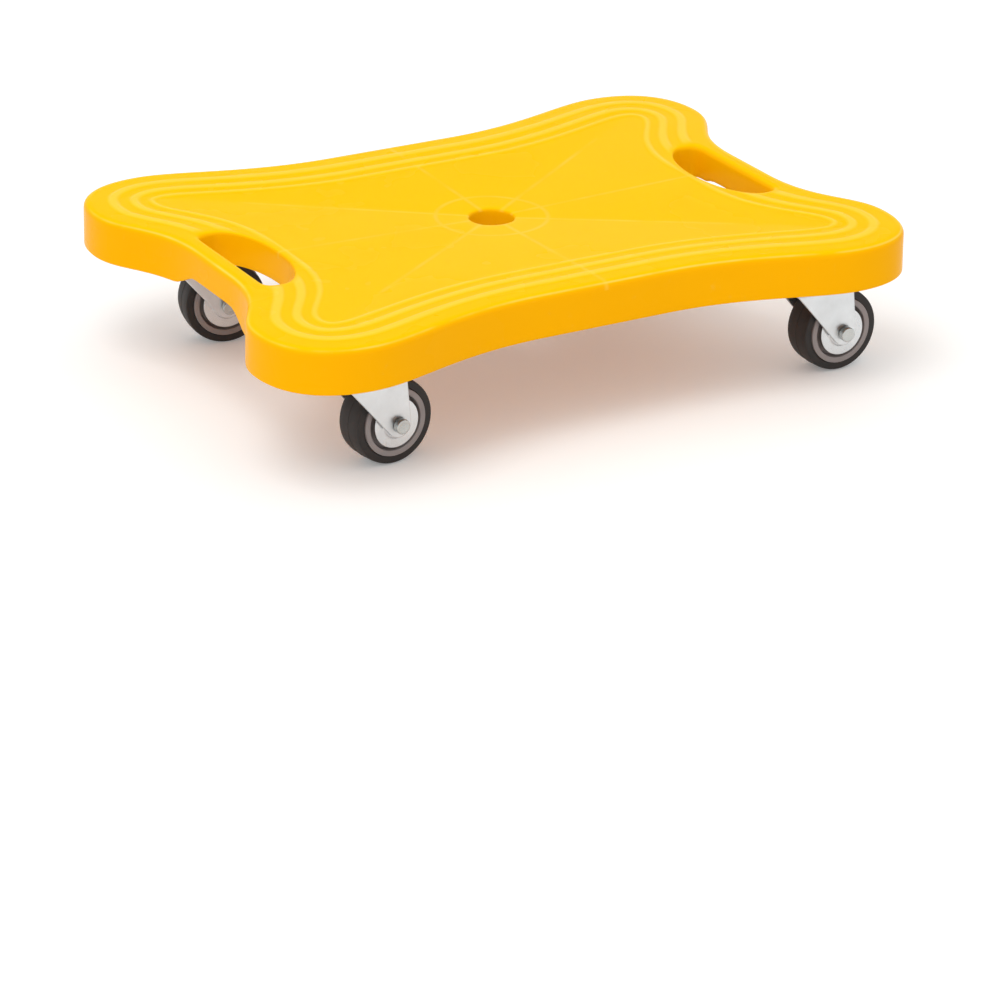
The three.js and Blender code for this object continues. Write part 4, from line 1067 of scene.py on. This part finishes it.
# Studio: a pale floor that keeps the board's shadow and that the camera sees a little brighter,
# and white far off, under even light from all round. Reflections see a white sweep that ends
# under a dim ceiling.
floor_half, floor_lift, near_edge, far_edge, far_lift = 8.0, 0.18, 0.9, 2.6, 0.75
floor_mesh = bpy.data.meshes.new("studio_floor")
floor_mesh.from_pydata([(-floor_half, -floor_half, 0), (floor_half, -floor_half, 0),
                        (floor_half, floor_half, 0), (-floor_half, floor_half, 0)], [], [(0, 1, 2, 3)])
floor = bpy.data.objects.new("studio_floor", floor_mesh)
bpy.context.scene.collection.objects.link(floor)
floor_finish, tree, place = new_material("pale_studio_floor")
rays = add_node(tree, "LightPath").outputs
seen = add_node(tree, "Math", links={0: rays["Is Camera Ray"], 1: rays["Is Glossy Ray"]},
                operation="MAXIMUM")
seen = add_node(tree, "Math", links={0: seen, 1: rays["Is Transmission Ray"]}, operation="MAXIMUM")
lift = add_node(tree, "Math", {1: floor_lift}, {0: seen}, operation="MULTIPLY")
away = add_node(tree, "VectorMath", links={0: place}, operation="LENGTH").outputs["Value"]
far = add_node(tree, "MapRange", {"From Min": near_edge, "From Max": far_edge, "To Max": far_lift},
               {"Value": away})
lift = add_node(tree, "Math", links={0: far, 1: rays["Is Camera Ray"], 2: lift},
                operation="MULTIPLY_ADD")
matt = add_node(tree, "BsdfDiffuse", {"Color": linear("#f2f2f1")})
glow = add_node(tree, "Emission", links={"Strength": lift})
both = add_node(tree, "AddShader", links={0: matt, 1: glow})
add_node(tree, "OutputMaterial", links={"Surface": both})
floor_mesh.materials.append(floor_finish)

bpy.context.scene.view_settings.view_transform = "Standard"
world = bpy.data.worlds.new("soft_studio")
bpy.context.scene.world = world
world.use_nodes = True
tree = world.node_tree
tree.nodes.clear()
white, room_level, ceiling_level = linear("#ffffff"), 0.84, 0.03
sweep_end, ceiling_start = math.sin(math.radians(8)), math.sin(math.radians(17))
rays = add_node(tree, "LightPath").outputs
toward = add_node(tree, "TexCoord").outputs["Generated"]
upward = add_node(tree, "SeparateXYZ", links={0: toward}).outputs["Z"]
sweep = add_node(tree, "MapRange", {"From Min": sweep_end, "From Max": ceiling_start,
                                    "To Min": 1.0, "To Max": ceiling_level}, {"Value": upward})
room = add_node(tree, "Background", {"Color": white, "Strength": room_level})
reflected = add_node(tree, "Background", {"Color": white}, {"Strength": sweep})
backdrop = add_node(tree, "Background", {"Color": white, "Strength": 1.0})
chosen = add_node(tree, "MixShader", links={0: rays["Is Glossy Ray"], 1: room, 2: reflected})
seen = add_node(tree, "Math", links={0: rays["Is Camera Ray"], 1: rays["Is Transmission Ray"]},
                operation="MAXIMUM")
chosen = add_node(tree, "MixShader", links={0: seen, 1: chosen, 2: backdrop})
add_node(tree, "OutputWorld", links={"Surface": chosen})


def soft_lamp(name, place, aim, width, height, watts):
    """A rectangular area lamp at place, turned so that its -Z axis points at aim."""
    lamp_data = bpy.data.lights.new(name, "AREA")
    lamp_data.shape = "RECTANGLE"
    lamp_data.size, lamp_data.size_y, lamp_data.energy = width, height, watts
    away = unit(np.array(place, float) - np.array(aim, float))
    across = unit(np.cross([0.0, 0.0, 1.0], away))
    stand(lamp_data, across, np.cross(away, across), away, place)


# A large soft lamp above the front left, and a low strip behind that parts the dish's facets
soft_lamp("key_lamp", (-1.3, -0.7, 2.6), (0, 0, 0.08), 1.6, 1.6, 27)
soft_lamp("low_back_lamp", (1.15, 1.95, 0.56), (0, 0, 0.08), 1.8, 0.4, 2.6)

bpy.context.view_layer.update()
